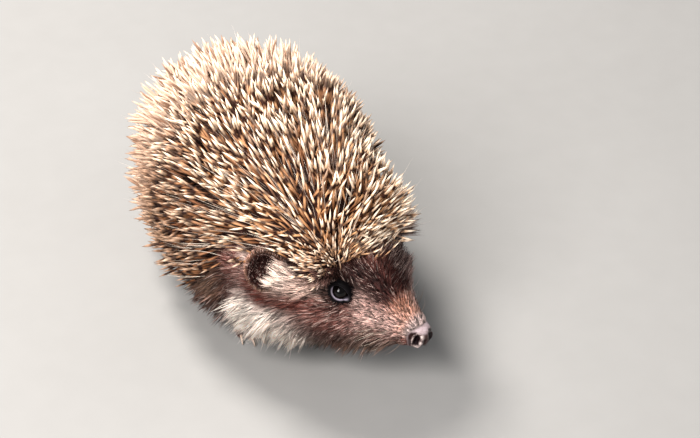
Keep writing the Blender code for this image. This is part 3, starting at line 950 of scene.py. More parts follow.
# %% [markdown]
# ## The lie of the coat
#
# Hair grows from the nose backwards, parts round the eyes, sweeps down over the cheeks and back along
# the flanks. Before the ears it sweeps up and back over the ear's mouth. Quills point backwards too,
# but over the head they fan out from one side of the brow, as they do when a hedgehog frowns.

# %% Directions along the skin
CROWN = from_head(23, -13, 15)
CROWN_REACH = 31


def flat_to(vectors, normals):
    """The part of each vector that lies in the surface, at unit length."""
    return unit(vectors - normals * np.sum(vectors * normals, axis=1, keepdims=True))


def away_in_ear(points, side):
    """From the ear's middle out to each point, across the ear's mouth."""
    outward, _, _ = ear_axes(side)
    away = points - ear_place(side)
    return away - np.outer(away @ outward, outward) + outward * 1.5


def hair_lie(points, normals, masks):
    """The way the fur lies along the skin at each point."""
    back, left, up = in_head(points)
    side = np.sign(left)[:, None]
    on_head = (1 - masks["body"])[:, None]
    lie = -FORWARD * on_head + np.array((0, 1.0, 0)) * (1 - on_head)
    downward = 1.6 * ramp(-up, -6, 12) * ramp(back, 12, 32) * (1 - masks["body"])
    downward += masks["body"] * (1 - masks["belly"])
    lie = lie - np.array((0, 0, 1.0)) * downward[:, None]
    lie = lie + UP * (0.55 * masks["tuft"])[:, None]
    lie = lie + LEFT * side * (0.5 * masks["mask"] + 0.55 * masks["temple"])[:, None]
    lie = lie - UP * (0.9 * masks["jaw"])[:, None]
    lie = lie + UP * (0.6 * masks["temple"])[:, None]
    far_brow = ramp(left, -4, 4) * ramp(up, 6, 11) * ramp(back, 12, 18) * (1 - masks["body"])
    lie = lie + (LEFT * 1.3 + UP * 0.3) * far_brow[:, None]
    for ear_side in SIDES:
        centre, facing, _, _ = eye_frame(ear_side)
        away = points - centre
        near = bump(np.linalg.norm(away, axis=1), 6.5)
        lie = lie + unit(away - np.outer(away @ facing, facing)) * (1.5 * near)[:, None]
        in_this = masks["ear"] * (np.sign(left) == ear_side)
        from_middle = unit(away_in_ear(points, ear_side))
        lie = lie * (1 - in_this)[:, None] + from_middle * in_this[:, None]
    leg = masks["leg"][:, None]
    which, _ = along_legs(points)
    toes = np.array([axes(leg_["heading"], 0)[0] for leg_ in LEGS.values()])[which]
    foot = masks["foot"][:, None]
    down = np.array((0, 0.25, -1.0)) * (1 - foot) + (toes - (0, 0, 0.35)) * foot
    lie = lie * (1 - leg) + down * leg
    return flat_to(lie, normals)


def quill_lie(points, normals):
    """The way the quills lie: backwards, and away from the crown near it."""
    from_crown = points - CROWN
    near = bump(np.linalg.norm(from_crown, axis=1), CROWN_REACH)[:, None]
    swept = np.array((0, 1.0, 0.0)) + np.array((0, 0, -0.25)) * (1 - np.abs(normals[:, 2:3]))
    return flat_to(swept * (1 - near) + unit(from_crown) * near * 1.4, normals)


# %% Random places on the skin
def scatter(count, weight):
    """Random points on the skin, as many per area as weight asks, and their normals."""
    mesh = skin.data
    mesh.calc_loop_triangles()
    corners = np.empty(len(mesh.loop_triangles) * 3, dtype=np.int32)
    mesh.loop_triangles.foreach_get("vertices", corners)
    corners = corners.reshape(-1, 3)
    spots = skin_points[corners]
    area = np.linalg.norm(np.cross(spots[:, 1] - spots[:, 0], spots[:, 2] - spots[:, 0]), axis=1) / 2
    share = area * weight[corners].mean(axis=1)
    picked = rng.choice(len(share), size=count, p=share / share.sum())
    mix = rng.dirichlet((1, 1, 1), size=count)
    places = np.einsum("nk,nkd->nd", mix, spots[picked])
    normals = unit(np.einsum("nk,nkd->nd", mix, skin_normals[corners[picked]]))
    return places, normals


skin_points = read_points(skin.data)
skin_normals = read_normals(skin.data)
print("skin area:", round(sum(p.area for p in skin.data.polygons) * 1e6), "square millimetres")

# %% [markdown]
# ## Growing strands
#
# A quill, a lock of fur and a whisker are the same thing to a modeller: a thin closed spike that bends
# a little. One spike is modelled with bmesh, straight and of unit length. Arrays then repeat it for
# every root, bent along its own line, and all of them become one mesh. A few dozen faces a spike keep
# the whole coat light enough to turn in a viewport.
#
# Each spike also keeps a small patch of the map OFBake, at its root's place on the unrolled skin:
# distance behind the nose one way, angle round the body the other, with legs and ears in cells of
# their own below.

# %% One spike
PATCH = 0.003
CAP_SHARE = 0.1
LOCK_ROOT_WIDTH = 0.75


def spike(sides, rings):
    """Points, faces and unrolled corners of a closed spike. rings: share of the length, relative width."""
    bm = bmesh.new()
    bmesh.ops.create_circle(bm, cap_ends=True, segments=sides, radius=rings[0][1])
    edge = list(bm.edges)
    for height, width in rings[1:]:
        grown = bmesh.ops.extrude_edge_only(bm, edges=edge)["geom"]
        fresh = [v for v in grown if isinstance(v, bmesh.types.BMVert)]
        edge = [e for e in grown if isinstance(e, bmesh.types.BMEdge)]
        for v in fresh:
            flat = Vector((v.co.x, v.co.y, 0)).normalized() * width
            v.co = Vector((flat.x, flat.y, height))
    tip = list(dict.fromkeys(v for e in edge for v in e.verts))
    bmesh.ops.pointmerge(bm, verts=tip, merge_co=Vector((0, 0, 1)))
    bmesh.ops.recalc_face_normals(bm, faces=bm.faces)
    bm.verts.index_update()
    points = np.array([v.co[:] for v in bm.verts])
    faces = [[v.index for v in f.verts] for f in bm.faces]
    corners = []
    for face in bm.faces:
        turns = [(math.atan2(v.co.y, v.co.x) / (2 * math.pi)) % 1 for v in face.verts]
        heights = [v.co.z for v in face.verts]
        if max(heights) < 1e-6:
            corners += [(0.5 + 2 * v.co.x, CAP_SHARE * (0.4 + v.co.y)) for v in face.verts]
            continue
        on_side = [t for t, h in zip(turns, heights) if h < 1]
        split = max(on_side) - min(on_side) > 0.5
        turns = [t + 1 if split and t < 0.5 else t for t in turns]
        middle = sum(t + (1 if split and t < 0.5 else 0) for t in on_side) / len(on_side)
        turns = [middle if h >= 1 else t for t, h in zip(turns, heights)]
        corners += [(t, CAP_SHARE + (1 - CAP_SHARE) * h) for t, h in zip(turns, heights)]
    bm.free()
    return points, faces, np.array(corners)


def lock_rings(steps):
    """The rings of a lock of fur: widest below its middle, pointed at its end."""
    rings = []
    for t in steps:
        low = LOCK_ROOT_WIDTH + (1 - LOCK_ROOT_WIDTH) * min(1, t * 3)
        rings.append((t, low if t < 0.34 else (1 - t) ** 0.7 * 1.3))
    return rings


QUILL_SPIKE = spike(6, [(0, 0.35), (0.06, 0.62), (0.32, 0.92), (0.64, 1.0), (0.82, 0.86), (0.93, 0.48)])
HAIR_SPIKE = spike(3, lock_rings((0, 0.3, 0.72)))
WHISKER_SPIKE = spike(4, [(0, 1.0), (0.25, 0.8), (0.5, 0.6), (0.75, 0.36)])
for word, shape in (("quill", QUILL_SPIKE), ("lock", HAIR_SPIKE), ("whisker", WHISKER_SPIKE)):
    print(word, "has", sum(len(f) - 2 for f in shape[1]), "triangles")


# %% Place of each root on the unrolled skin
def unrolled(points):
    """Each point's place on the map: the body above, a cell for every leg and ear along the bottom."""
    along, angle = round_body(points)
    which, leg = along_legs(points)
    u = 0.02 + 0.95 * along / AXIS_AT[-1]
    v = 0.16 + 0.82 * ((angle / (2 * np.pi) + 0.25) % 1)
    on_leg = (leg < 1.45) & (points[:, 2] < 15)
    ankles = np.array([leg_["ankle"] for leg_ in LEGS.values()], dtype=float)[which]
    away = points - ankles
    turn = (np.arctan2(away[:, 1], away[:, 0]) / (2 * np.pi)) % 1
    reach = np.clip(np.hypot(away[:, 0], away[:, 1]) / 18, 0, 1)
    u = np.where(on_leg, 0.01 + 0.2 * which + 0.18 * turn, u)
    v = np.where(on_leg, 0.01 + 0.06 * reach + 0.07 * np.clip(points[:, 2] / 15, 0, 1), v)
    for cell, side in enumerate(SIDES):
        outward, backward, upward = in_ear(points, side)
        on_ear = np.sqrt(outward * outward + backward * backward + upward * upward) < 1.15
        u = np.where(on_ear, 0.82 + 0.09 * cell + 0.035 * (1 + np.clip(backward, -1, 1)), u)
        v = np.where(on_ear, 0.01 + 0.06 * (1 + np.clip(upward, -1, 1)), v)
    return np.stack([u, v], axis=1)


# %% Many spikes as one mesh
def bent_spikes(points, roots, start, end, length, width):
    """The points of every spike: it leaves its root along start and has turned to end at its tip."""
    t = points[:, 2]
    line = (
        roots[:, None]
        + start[:, None] * (length[:, None] * (t - t * t / 2))[..., None]
        + end[:, None] * (length[:, None] * t * t / 2)[..., None]
    )
    way = unit(start[:, None] * (1 - t)[None, :, None] + end[:, None] * t[None, :, None])
    helper = unit(np.cross(start, (0.31, 0.2, 0.93)))[:, None]
    aside = unit(np.cross(way, helper))
    other = np.cross(way, aside)
    spin = rng.uniform(0, 2 * np.pi, len(roots))[:, None]
    x = points[:, 0] * np.cos(spin) - points[:, 1] * np.sin(spin)
    y = points[:, 0] * np.sin(spin) + points[:, 1] * np.cos(spin)
    line += (aside * x[..., None] + other * y[..., None]) * width[:, None, None]
    line[..., 2] = np.maximum(line[..., 2], FLOOR_GAP)
    return line


def joined(name, line, faces):
    """One mesh of all the spikes, from their points and the faces of one."""
    count, size = line.shape[:2]
    sides = np.array([len(f) for f in faces])
    flat = np.concatenate(faces)
    mesh = bpy.data.meshes.new(name)
    mesh.vertices.add(count * size)
    mesh.vertices.foreach_set("co", metres(line.reshape(-1, 3)).ravel())
    mesh.loops.add(count * len(flat))
    shift = (np.arange(count) * size)[:, None]
    mesh.loops.foreach_set("vertex_index", (flat + shift).ravel().astype(np.int32))
    mesh.polygons.add(count * len(faces))
    starts = np.concatenate([[0], np.cumsum(sides)[:-1]])
    shift = (np.arange(count) * len(flat))[:, None]
    mesh.polygons.foreach_set("loop_start", (starts + shift).ravel().astype(np.int32))
    mesh.update(calc_edges=True)
    return mesh


def keep_values(mesh, label, values):
    """Keeps a number or a colour on each point of the mesh, for its finish to read."""
    values = np.asarray(values, dtype=float)
    if values.ndim == 1:
        layer = mesh.attributes.new(label, "FLOAT", "POINT")
        layer.data.foreach_set("value", values)
    else:
        layer = mesh.attributes.new(label, "FLOAT_COLOR", "POINT")
        layer.data.foreach_set("color", np.column_stack([values, np.ones(len(values))]).ravel())


def grow(name, shape, roots, start, end, length, width, attributes):
    """A piece with a spike on every root, its map OFBake and the values that its finish reads."""
    points, faces, corners = shape
    mesh = joined(name, bent_spikes(points, roots, start, end, length, width), faces)
    layer = mesh.uv_layers.new(name="OFBake")
    spot = unrolled(roots)[:, None] + (corners - 0.5)[None] * PATCH
    layer.data.foreach_set("uv", np.clip(spot, 0.001, 0.999).ravel())
    keep_values(mesh, "Along", np.tile(points[:, 2], len(roots)))
    for label, values in attributes.items():
        keep_values(mesh, label, np.repeat(values, len(points), axis=0))
    mesh.shade_smooth()
    made = bpy.data.objects.new(name, mesh)
    scene.collection.objects.link(made)
    return made


# %% Directions of strands
def tilted(flat, normals, lift):
    """Directions that rise from the surface by lift degrees from the way it lies."""
    rise = np.radians(lift)[:, None]
    return flat * np.cos(rise) + normals * np.sin(rise)


def strewn(vectors, degrees):
    """The directions, each turned a random way by about that many degrees."""
    spread = np.tan(np.radians(degrees)) / 1.4 * np.ones(len(vectors))
    return unit(vectors + rng.normal(0, 1, vectors.shape) * spread[:, None])


# %% [markdown]
# ## Quills
#
# Young quills are stiff, smooth spikes about a millimetre thick: tan below, then a dark band, then a
# pale end. They stand a little under 2 mm apart, and closer on the brow. A root is kept only if no
# other is too near, which spreads them as evenly as on the animal. Each quill reaches from the skin out
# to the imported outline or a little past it, so the coat's shape is the solid's.

# %% Roots of the quills
QUILL_SPACING = 1.72
CROWN_SPACING = 1.12
LOW_SPACING = 0.2
QUILL_TRIES = 60000


def spaced(places, gaps):
    """Indices of the places that are kept so that none lies nearer than its gap to another."""
    tree = KDTree(len(places))
    for i, place in enumerate(places):
        tree.insert(place, i)
    tree.balance()
    free = np.ones(len(places), dtype=bool)
    kept = []
    for i, place in enumerate(places):
        if not free[i]:
            continue
        kept.append(i)
        for _, near, _ in tree.find_range(place, gaps[i]):
            free[near] = False
    return np.array(kept)


roots, normals = scatter(QUILL_TRIES, marks["quilled"] ** 2 + 1e-6)
inside = above_edge(roots)
ear, _ = on_ears(roots)
wanted = (inside > rng.uniform(-1.0, 2.0, len(roots))) & (ear < 0.5)
roots, normals = roots[wanted], normals[wanted]
close = bump(np.linalg.norm(roots - CROWN, axis=1), CROWN_REACH * 0.8)
low = LOW_SPACING * (1 - ramp(roots[:, 2], 30, 50))
kept = spaced(roots, QUILL_SPACING + low + (CROWN_SPACING - QUILL_SPACING) * close)
roots, normals = roots[kept], normals[kept]
print("quills:", len(roots))

# %% How far the coat reaches
def outer_shell(names):
    """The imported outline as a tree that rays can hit."""
    verts, faces = [], []
    for name in names:
        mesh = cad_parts[name].data
        base = len(verts)
        verts += [v.co.copy() for v in mesh.vertices]
        faces += [[base + i for i in p.vertices] for p in mesh.polygons]
    return BVHTree.FromPolygons(verts, faces)


shell = outer_shell(["trunk", "neck", "head"])
# How many walls of the solids a ray may pass on its way out.
WALLS = 6


def reach_out(roots, ways, most):
    """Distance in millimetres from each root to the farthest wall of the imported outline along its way."""
    found = np.zeros(len(roots))
    starts = metres(roots)
    for i, (start, way) in enumerate(zip(starts, ways)):
        here, gone = Vector(start), 0.0
        for _ in range(WALLS):
            hit = shell.ray_cast(here, Vector(way), most * MM - gone)
            if hit[0] is None:
                break
            gone += hit[3] + 1e-5
            found[i] = gone / MM
            here = hit[0] + Vector(way) * 1e-5
    return found


# %% Neighbours that go together
def nearest_of(chosen, places):
    """For every place the index of the chosen place nearest to it."""
    tree = KDTree(len(chosen))
    for i, index in enumerate(chosen):
        tree.insert(places[index], i)
    tree.balance()
    return chosen[[tree.find(place)[1] for place in places]]


# %% Directions and lengths of the quills
# Lifts are in degrees from the skin. The quills lie flatter down the sides, on the brow and at the edge.
QUILL_LIFT = 53
SIDE_FLATTER = 15
BROW_FLATTER = 14
EDGE_FLATTER = 8
TIP_FLATTER = 7
QUILL_GROUPS = 420
GROUP_LEAN = 0.2
LONGEST_REACH = 24
QUILL_LENGTH = 14.5
FAR_BROW_LONGER = 8.0
QUILL_RADIUS = 0.50
along, _ = round_body(roots)
inside = above_edge(roots)
back, left, _ = in_head(roots)
from_crown = np.linalg.norm(roots - CROWN, axis=1)
near_crown = bump(from_crown, CROWN_REACH * 1.1)
brow = (1 - ramp(back - QUILL_FRONT - FRONT_CURVE * left ** 2, 0, 5)) * (back < 44)
lift = QUILL_LIFT - SIDE_FLATTER * (1 - np.abs(normals[:, 2])) - BROW_FLATTER * brow
lift -= EDGE_FLATTER * (1 - ramp(inside, 0, 7))
flat = quill_lie(roots, normals)
chief = nearest_of(rng.choice(len(roots), QUILL_GROUPS, replace=False), roots)
lean = (rng.normal(0, GROUP_LEAN, roots.shape))[chief]
ways = strewn(unit(tilted(flat, normals, lift) + lean), 20 + 22 * near_crown)
ends = strewn(unit(tilted(flat, normals, lift - TIP_FLATTER) + lean), 3)
ends = unit(ends * 0.45 + ways * 0.55)
reach = reach_out(roots, unit(ways + ends), LONGEST_REACH)
far_brow = near_crown * ramp(left, -4, 8)
typical = QUILL_LENGTH - 1.5 * near_crown - 2.5 * brow
typical = typical + FAR_BROW_LONGER * far_brow * (1 - 0.6 * ramp(back, 28, 40))
length = np.where(reach > 4, reach + 1.2, typical)
length = np.clip(length, typical * 0.82, typical * 1.27) * rng.normal(1.02, 0.07, len(roots))
length *= 1 - 0.25 * (1 - ramp(inside, 0, 6))
width = (QUILL_RADIUS - 0.15 * near_crown) * np.clip(length / 14, 0.7, 1.05)
width = width * rng.normal(1, 0.1, len(roots))
print("quill length:", np.round(np.percentile(length, (2, 50, 98)), 1), "mm")


# %% Leave out quills that would hang over an ear or the face
def over_ear(points):
    """Whether a point lies in front of an ear's mouth, up to a few millimetres out."""
    found = np.zeros(len(points), dtype=bool)
    for side in SIDES:
        outward, backward, upward = in_ear(points, side)
        found |= (outward > -0.6) & (outward < 5) & (np.hypot(backward, upward) < EAR_REACH)
    return found


clear = np.ones(len(roots), dtype=bool)
for share in (0.4, 0.6, 0.8, 1.0):
    spots = roots + (ways + ends) / 2 * (length * share)[:, None]
    spot_back, spot_left, _ = in_head(spots)
    clear &= ~over_ear(spots) & ~((above_edge(spots) < -2.0) & (spot_back < 44) & (spot_left < 5))
keep = [roots, normals, along, near_crown, ways, ends, length, width]
roots, normals, along, near_crown, ways, ends, length, width = [values[clear] for values in keep]
print("quills left out:", int((~clear).sum()))

# %% Tones of the quills, and their four pieces
# Warm quills are golden, pale ones light all along, and dim ones dark as in the shade of others.
# Quills are made paler towards the rump as painted light, and dimmer low on the sides as painted shade.
DIM_SHARE = 0.12
QUILL_ROOT_DEPTH = 0.5
warmth = np.clip(0.25 + 0.75 * near_crown + rng.normal(0, 0.16, len(roots)), 0, 1)
shade = np.clip(rng.normal(0.5, 0.19 + 0.1 * near_crown, len(roots)), 0, 1)
# Painted shade: dimmer low on the sides, less so at the rear and near the crown.
dim = (1 - ramp(roots[:, 2], 38, 66)) * (1 - 0.6 * ramp(along, 95, 125)) * (1 - near_crown)
dim = np.clip(dim + rng.normal(0, 0.15, len(roots)), 0, 1)
dim = np.where(rng.uniform(0, 1, len(roots)) < DIM_SHARE + 0.03 * near_crown, 1.0, dim)
# Painted light: paler towards the rump; paler on the brow too.
pale_and_lit = np.maximum(ramp(along, 80, 108), 0.55 * brow[clear])
pale_and_lit = np.clip(pale_and_lit + rng.normal(0, 0.1, len(roots)), 0, 1)
# The pieces from the brow back, and where along the body one ends and the next begins.
QUILL_PIECES = ("quills_brow", "quills_shoulders", "quills_back", "quills_rump")
QUILL_BREAKS = (62, 92, 114)
group = np.searchsorted(QUILL_BREAKS, along, side="right")
quills = []
for number, name in enumerate(QUILL_PIECES):
    here = group == number
    quills.append(grow(
        name, QUILL_SPIKE, roots[here] - normals[here] * QUILL_ROOT_DEPTH, ways[here], ends[here],
        length[here], width[here],
        {"Shade": shade[here], "Warmth": warmth[here], "PaleAndLit": pale_and_lit[here], "Dim": dim[here]},
    ))
    print(name, int(here.sum()))

# %% [markdown]
# Along the edge of the brow, where the quills end, stand finer and shorter golden ones. They lie along
# the edge, away from the middle of the fan, and cross each other. The quill's spike serves for them
# too, only thinner.

# %% Golden fringe of the brow
FRINGE_TRIES = 9000
FRINGE_GAP = 0.8
FRINGE_LENGTHS = (5.5, 9.5)
FRINGE_RADII = (0.2, 0.3)
FRINGE_ROOT_DEPTH = 0.4
skin_back, _, skin_up = in_head(skin_points)
band = bump(np.abs(above_edge(skin_points) - 0.4), 2.4) * (skin_back < 42) * (1 - marks["ear"])
band *= ramp(skin_up, 14.5, 18)
roots, normals = scatter(FRINGE_TRIES, band + 1e-9)
kept = spaced(roots, np.full(len(roots), FRINGE_GAP))
roots, normals = roots[kept], normals[kept]
away = roots - CROWN
flat = flat_to(unit(away - np.outer(away @ UP, UP) * 0.75), normals)
far_side = ramp(in_head(roots)[1], -14, -6)
ways = strewn(tilted(flat, normals, 22 + 12 * far_side), 28 - 10 * far_side)
ends = strewn(tilted(flat, normals, 8 + 10 * far_side), 18 - 8 * far_side)
length = rng.uniform(*FRINGE_LENGTHS, len(roots)) + 3.5 * far_side
clear = ~over_ear(roots + (ways + ends) / 2 * length[:, None])
keep = [roots, normals, ways, ends, length, far_side]
roots, normals, ways, ends, length, far_side = [values[clear] for values in keep]
count = len(roots)
quills.append(grow(
    "quills_fringe", QUILL_SPIKE, roots - normals * FRINGE_ROOT_DEPTH, ways, ends, length,
    rng.uniform(*FRINGE_RADII, count),
    {"Shade": rng.uniform(0.2, 0.8, count), "Warmth": np.ones(count), "PaleAndLit": 0.35 - 0.15 * far_side,
     "Dim": rng.choice((0.0, 0.25, 1.0), count, p=(0.68, 0.2, 0.12))},
))
print("fringe of the brow:", count)

# %% [markdown]
# ## Fur
#
# Fur is grown as fine locks that overlap and lie along the skin. Short locks cover snout and feet,
# longer ones the cheeks, and a skirt hangs below the quills. Locks close together lean towards one of
# them, which gives the small points that soft fur makes. Round the eyes they are shorter, and none
# grows on the lids' edge or on the bare nose.

# %% The bare nose
def nose_skin(points):
    """How bare each point is on the nose pad, and how wet."""
    back, left, up = in_head(points)
    edge = 4.5 + 0.4 * np.sin(3 * np.arctan2(up, left)) - 1.1 * ramp(up, 1.5, 4)
    bare = 1 - ramp(back, edge, edge + 1.0)
    return bare, bare * (1 - ramp(up, 2.4, 3.4))


# %% Length, lift and crowding of the fur
# For each zone: length in mm, lift in degrees, width in mm and share of the roots.
FUR_BY_ZONE = [
    ("body", 6.0, 28, 0.20, 0.5), ("belly", 6.0, 20, 0.20, 0.5), ("skirt", 9.0, 20, 0.18, 1.0),
    ("throat", 10.5, 34, 0.19, 0.9), ("muzzle", 2.8, 25, 0.115, 2.5), ("snout", 1.7, 30, 0.095, 3.0),
    ("between", 4.6, 20, 0.14, 2.0), ("under_eye", 4.0, 18, 0.125, 2.2), ("mask", 4.4, 28, 0.12, 2.2),
    ("jaw", 8.0, 38, 0.12, 2.0), ("cheek", 12.5, 26, 0.14, 2.0), ("rust", 5.5, 24, 0.14, 2.0),
    ("temple", 7.0, 50, 0.125, 2.2), ("behind_ear", 6.5, 36, 0.14, 2.0), ("tuft", 7.5, 32, 0.13, 2.8),
    ("leg", 3.2, 20, 0.15, 0.9), ("foot", 1.2, 18, 0.10, 1.4), ("ear", 1.5, 34, 0.09, 2.8),
    ("cup", 1.2, 40, 0.08, 2.2),
]


def fur_fields(points, masks):
    """Length in mm, lift in degrees, width in mm and share of roots, by zone."""
    back, left, up = in_head(points)
    count = len(points)
    length = 1.0 + 2.2 * ramp(back, 4, 26)
    lift = np.full(count, 19.0)
    width = np.full(count, 0.080) + 0.030 * ramp(back, 8, 26)
    crowd = 3.2 - 1.0 * ramp(back, 20, 40)
    for zone, long, high, wide, many in FUR_BY_ZONE:
        share = masks[zone]
        length = length + (long - length) * share
        lift = lift + (high - lift) * share
        width = width + (wide - width) * share
        crowd = crowd + (many - crowd) * share
    far_face = ramp(left, 6, 10) * ramp(back, 14, 18) * (1 - ramp(back, 34, 40))
    far_face *= ramp(up, 2, 6) * (1 - ramp(up, 12, 15.5))
    length = length + 3.2 * far_face
    lift = lift + 12 * far_face
    for side in SIDES:
        centre, facing, along_lid, up_lid = eye_frame(side)
        away = points - centre
        inward, upward, ahead = away @ along_lid, away @ up_lid, away @ facing
        reach = np.hypot(inward, upward)
        free = reach - opening_reach(np.arctan2(upward, inward)) - MARGIN
        free = free - 0.9 * ramp(upward, 0.5, 2.5) - 1.3 * ramp(inward, 1.5, 3) * ramp(upward, -1.5, 0)
        here = (ahead > -2) & (reach < 9)
        room = np.where(here, ramp(free, 0.0, 2.6), 1)
        crowd = crowd * np.where(here & (free < 0.3), 0, 1)
        length = length * (0.38 + 0.62 * room)
        width = width * (0.6 + 0.4 * room)
        lift = lift * (0.65 + 0.35 * room)
    tail = ramp(points[:, 1], 60, 63) * (1 - ramp(points[:, 2], 17, 21))
    length = length * (1 - 0.7 * tail)
    crowd = crowd * (1 - ramp(masks["quilled"], 0.2, 0.9) * 0.84)
    bare, _ = nose_skin(points)
    crowd = crowd * (1 - ramp(bare, 0.2, 0.95)) * (1 - 0.75 * ramp(bare, 0, 0.3))
    crowd = crowd * np.where((points[:, 2] < 0.8), 0, 1)
    return length, lift, width, crowd


# %% Roots and directions of the fur
FUR_COUNT = 116000
HAIR_SPREAD = 17
length, lift, width, crowd = fur_fields(skin_points, marks)
roots, normals = scatter(FUR_COUNT, crowd)
masks = zones(roots)
length, lift, width, crowd = fur_fields(roots, masks)
keep = crowd > 0.02
roots, normals = roots[keep], normals[keep]
masks = {zone: mask[keep] for zone, mask in masks.items()}
length, lift, width = length[keep], lift[keep], width[keep]
flat = hair_lie(roots, normals, masks)
length = length * rng.uniform(0.72, 1.22, len(roots))
ways = strewn(tilted(flat, normals, lift + 12), HAIR_SPREAD)
ends = strewn(tilted(flat, normals, lift - 6), HAIR_SPREAD)
print("locks of fur:", len(roots))

# %% Draw neighbours together into points
GUIDE_SHARE = 12
DRAWN_AT_MOST = 0.45
guide = rng.choice(len(roots), len(roots) // GUIDE_SHARE, replace=False)
leader = nearest_of(guide, roots)
tips = roots + (ways + ends) / 2 * length[:, None]
shaggy = np.maximum(masks["cheek"], np.maximum(masks["jaw"], masks["throat"]))
drawn = (tips[leader] - tips) * (0.5 + 0.3 * shaggy)[:, None]
far = np.linalg.norm(drawn, axis=1, keepdims=True)
drawn *= np.minimum(1, DRAWN_AT_MOST * length[:, None] / np.maximum(far, 1e-6))
ends = unit(ends + 2 * drawn / length[:, None])
print("locks that lead the others:", len(guide))

# %% Colours of the fur
# Strays are locks that are much darker or paler than their zone, so that the coat isn't one flat tone.
# The dark ones also stand in for painted shade in the gaps between the locks.
DARK_SHADE_STRAYS = 0.24
DARK_SHADE_STRAY_TONE = 0.22
PALE_STRAYS_FROM = 0.86
UNDER_QUILLS_TONE = 0.5
along, _ = round_body(roots)
back, left, up = in_head(roots)
colour = coat_colour(masks, len(roots))
under_quills = 0.95 * masks["quilled"] * (1 - 0.6 * ramp(along, 86, 118))
shadow = UNDER_QUILLS_TONE * np.array(TINTS["black_brown"])
colour = colour + (shadow - colour) * under_quills[:, None]
# Round each eye the fur is darkened: partly the dark fur there, partly painted shade under the brow and
# lids.
for side in SIDES:
    centre, _, _, _ = eye_frame(side)
    by_eye = bump(np.linalg.norm(roots - centre, axis=1), 8)
    colour = colour * (1 - 0.92 * by_eye)[:, None]
# Painted shade: below the middle of the face the fur is darkened, except on the cheeks, as if in the head's
# own shadow.
face_underside_shade = ramp(-up, -3, 5) * (1 - masks["body"])
colour = colour * (1 - 0.6 * face_underside_shade * (1 - masks["cheek"]))[:, None]
own_shade = rng.normal(0.5, 0.36, len(roots))
together = 0.38 + 0.3 * shaggy
shade = (1 - together) * own_shade + together * own_shade[leader]
# The cheeks' locks are made paler, partly their own cream and partly painted light where the lamps leave
# the cheeks dim; behind the ears they are a little paler too.
shade = np.clip(shade + 0.36 * masks["cheek"] + 0.15 * masks["behind_ear"], 0, 1)
strays = rng.uniform(0, 1, len(roots))
colour = np.where((strays < DARK_SHADE_STRAYS)[:, None], colour * DARK_SHADE_STRAY_TONE, colour)
far_brow = ramp(left, 0, 6) * ramp(up, 8, 12) * (1 - masks["body"])
near_mask = masks["mask"] * (left < 2)
colour = colour * (1 - 0.14 * near_mask)[:, None]
pale_from = PALE_STRAYS_FROM - 0.2 * far_brow + 0.1 * masks["rust"] + 0.09 * near_mask
pale_stray = (strays > pale_from) & (masks["quilled"] < 0.3 + far_brow)
colour = np.where(pale_stray[:, None], colour + (np.array(TINTS["blush"]) - colour) * 0.55, colour)
print("strays:", int((strays < DARK_SHADE_STRAYS).sum()), "dark,", int(pale_stray.sum()), "pale_and_lit")

# %% Grow the pieces of fur
HAIR_ROOT_DEPTH = 0.12
FUR_PIECES = (
    "fur_snout", "fur_right_face", "fur_left_face", "fur_right_cheek", "fur_left_cheek", "fur_flanks",
    "fur_rear", "fur_legs",
)
right_side = left < 0
piece_of_root = np.select(
    [masks["leg"] > 0.5, along > 95, along > 62,
     (back > 40) & right_side, back > 40, back < 21, right_side],
    ["fur_legs", "fur_rear", "fur_flanks",
     "fur_right_cheek", "fur_left_cheek", "fur_snout", "fur_right_face"],
    "fur_left_face",
)
furs = []
for name in FUR_PIECES:
    here = piece_of_root == name
    furs.append(grow(
        name, HAIR_SPIKE, roots[here] - normals[here] * HAIR_ROOT_DEPTH, ways[here], ends[here],
        length[here], width[here], {"Coat": colour[here], "Shade": shade[here]},
    ))
    print(name, int(here.sum()))

# %% [markdown]
# ## Whiskers and guard hairs
#
# Long single hairs break the outline: thin whiskers on the muzzle, and pale guard hairs that stand out
# beyond the quills, most of them at the sides of the brow. They are few, so a short rule places each.

# %% Whiskers
WHISKER_SPOTS = ((9.5, 5.0, -1.2), (12, 6.6, -1.6), (14.5, 8.0, -1.0), (11, 6.0, 1.0), (13.5, 7.6, 1.4),
                 (16.5, 9.2, 0.6), (8, 4.4, -3.4), (11, 5.2, -4.6), (15, 6.6, -5.8))
WHISKERS_PER_SPOT = 2
WHISKER_LENGTHS = (7, 12.5)
WHISKER_RADIUS = 0.07
body_tree = BVHTree.FromObject(skin, bpy.context.evaluated_depsgraph_get())


def on_skin(place):
    """The nearest point of the skin and its normal."""
    spot, normal, _, _ = body_tree.find_nearest(Vector(metres(place)))
    return plan(spot), np.array(normal)


starts, outs = [], []
for side in SIDES:
    for back, out, up in WHISKER_SPOTS:
        for _ in range(WHISKERS_PER_SPOT):
            jitter = rng.normal(0, 0.7, 3)
            place, normal = on_skin(from_head(back, side * out, up) + jitter)
            starts.append(place)
            outs.append(normal)
starts, outs = np.array(starts), np.array(outs)
swept = flat_to(np.tile(-FORWARD, (len(starts), 1)) - (0, 0, 0.35), outs)
whisker_ways = strewn(tilted(swept, outs, np.full(len(starts), 48.0)), 9)
whisker_ends = strewn(tilted(swept, outs, np.full(len(starts), 18.0)), 7)
whiskers = grow(
    "whiskers", WHISKER_SPIKE, starts, whisker_ways, whisker_ends,
    rng.uniform(*WHISKER_LENGTHS, len(starts)), np.full(len(starts), WHISKER_RADIUS),
    {"Shade": rng.uniform(0, 1, len(starts))},
)
print("whiskers:", len(starts))

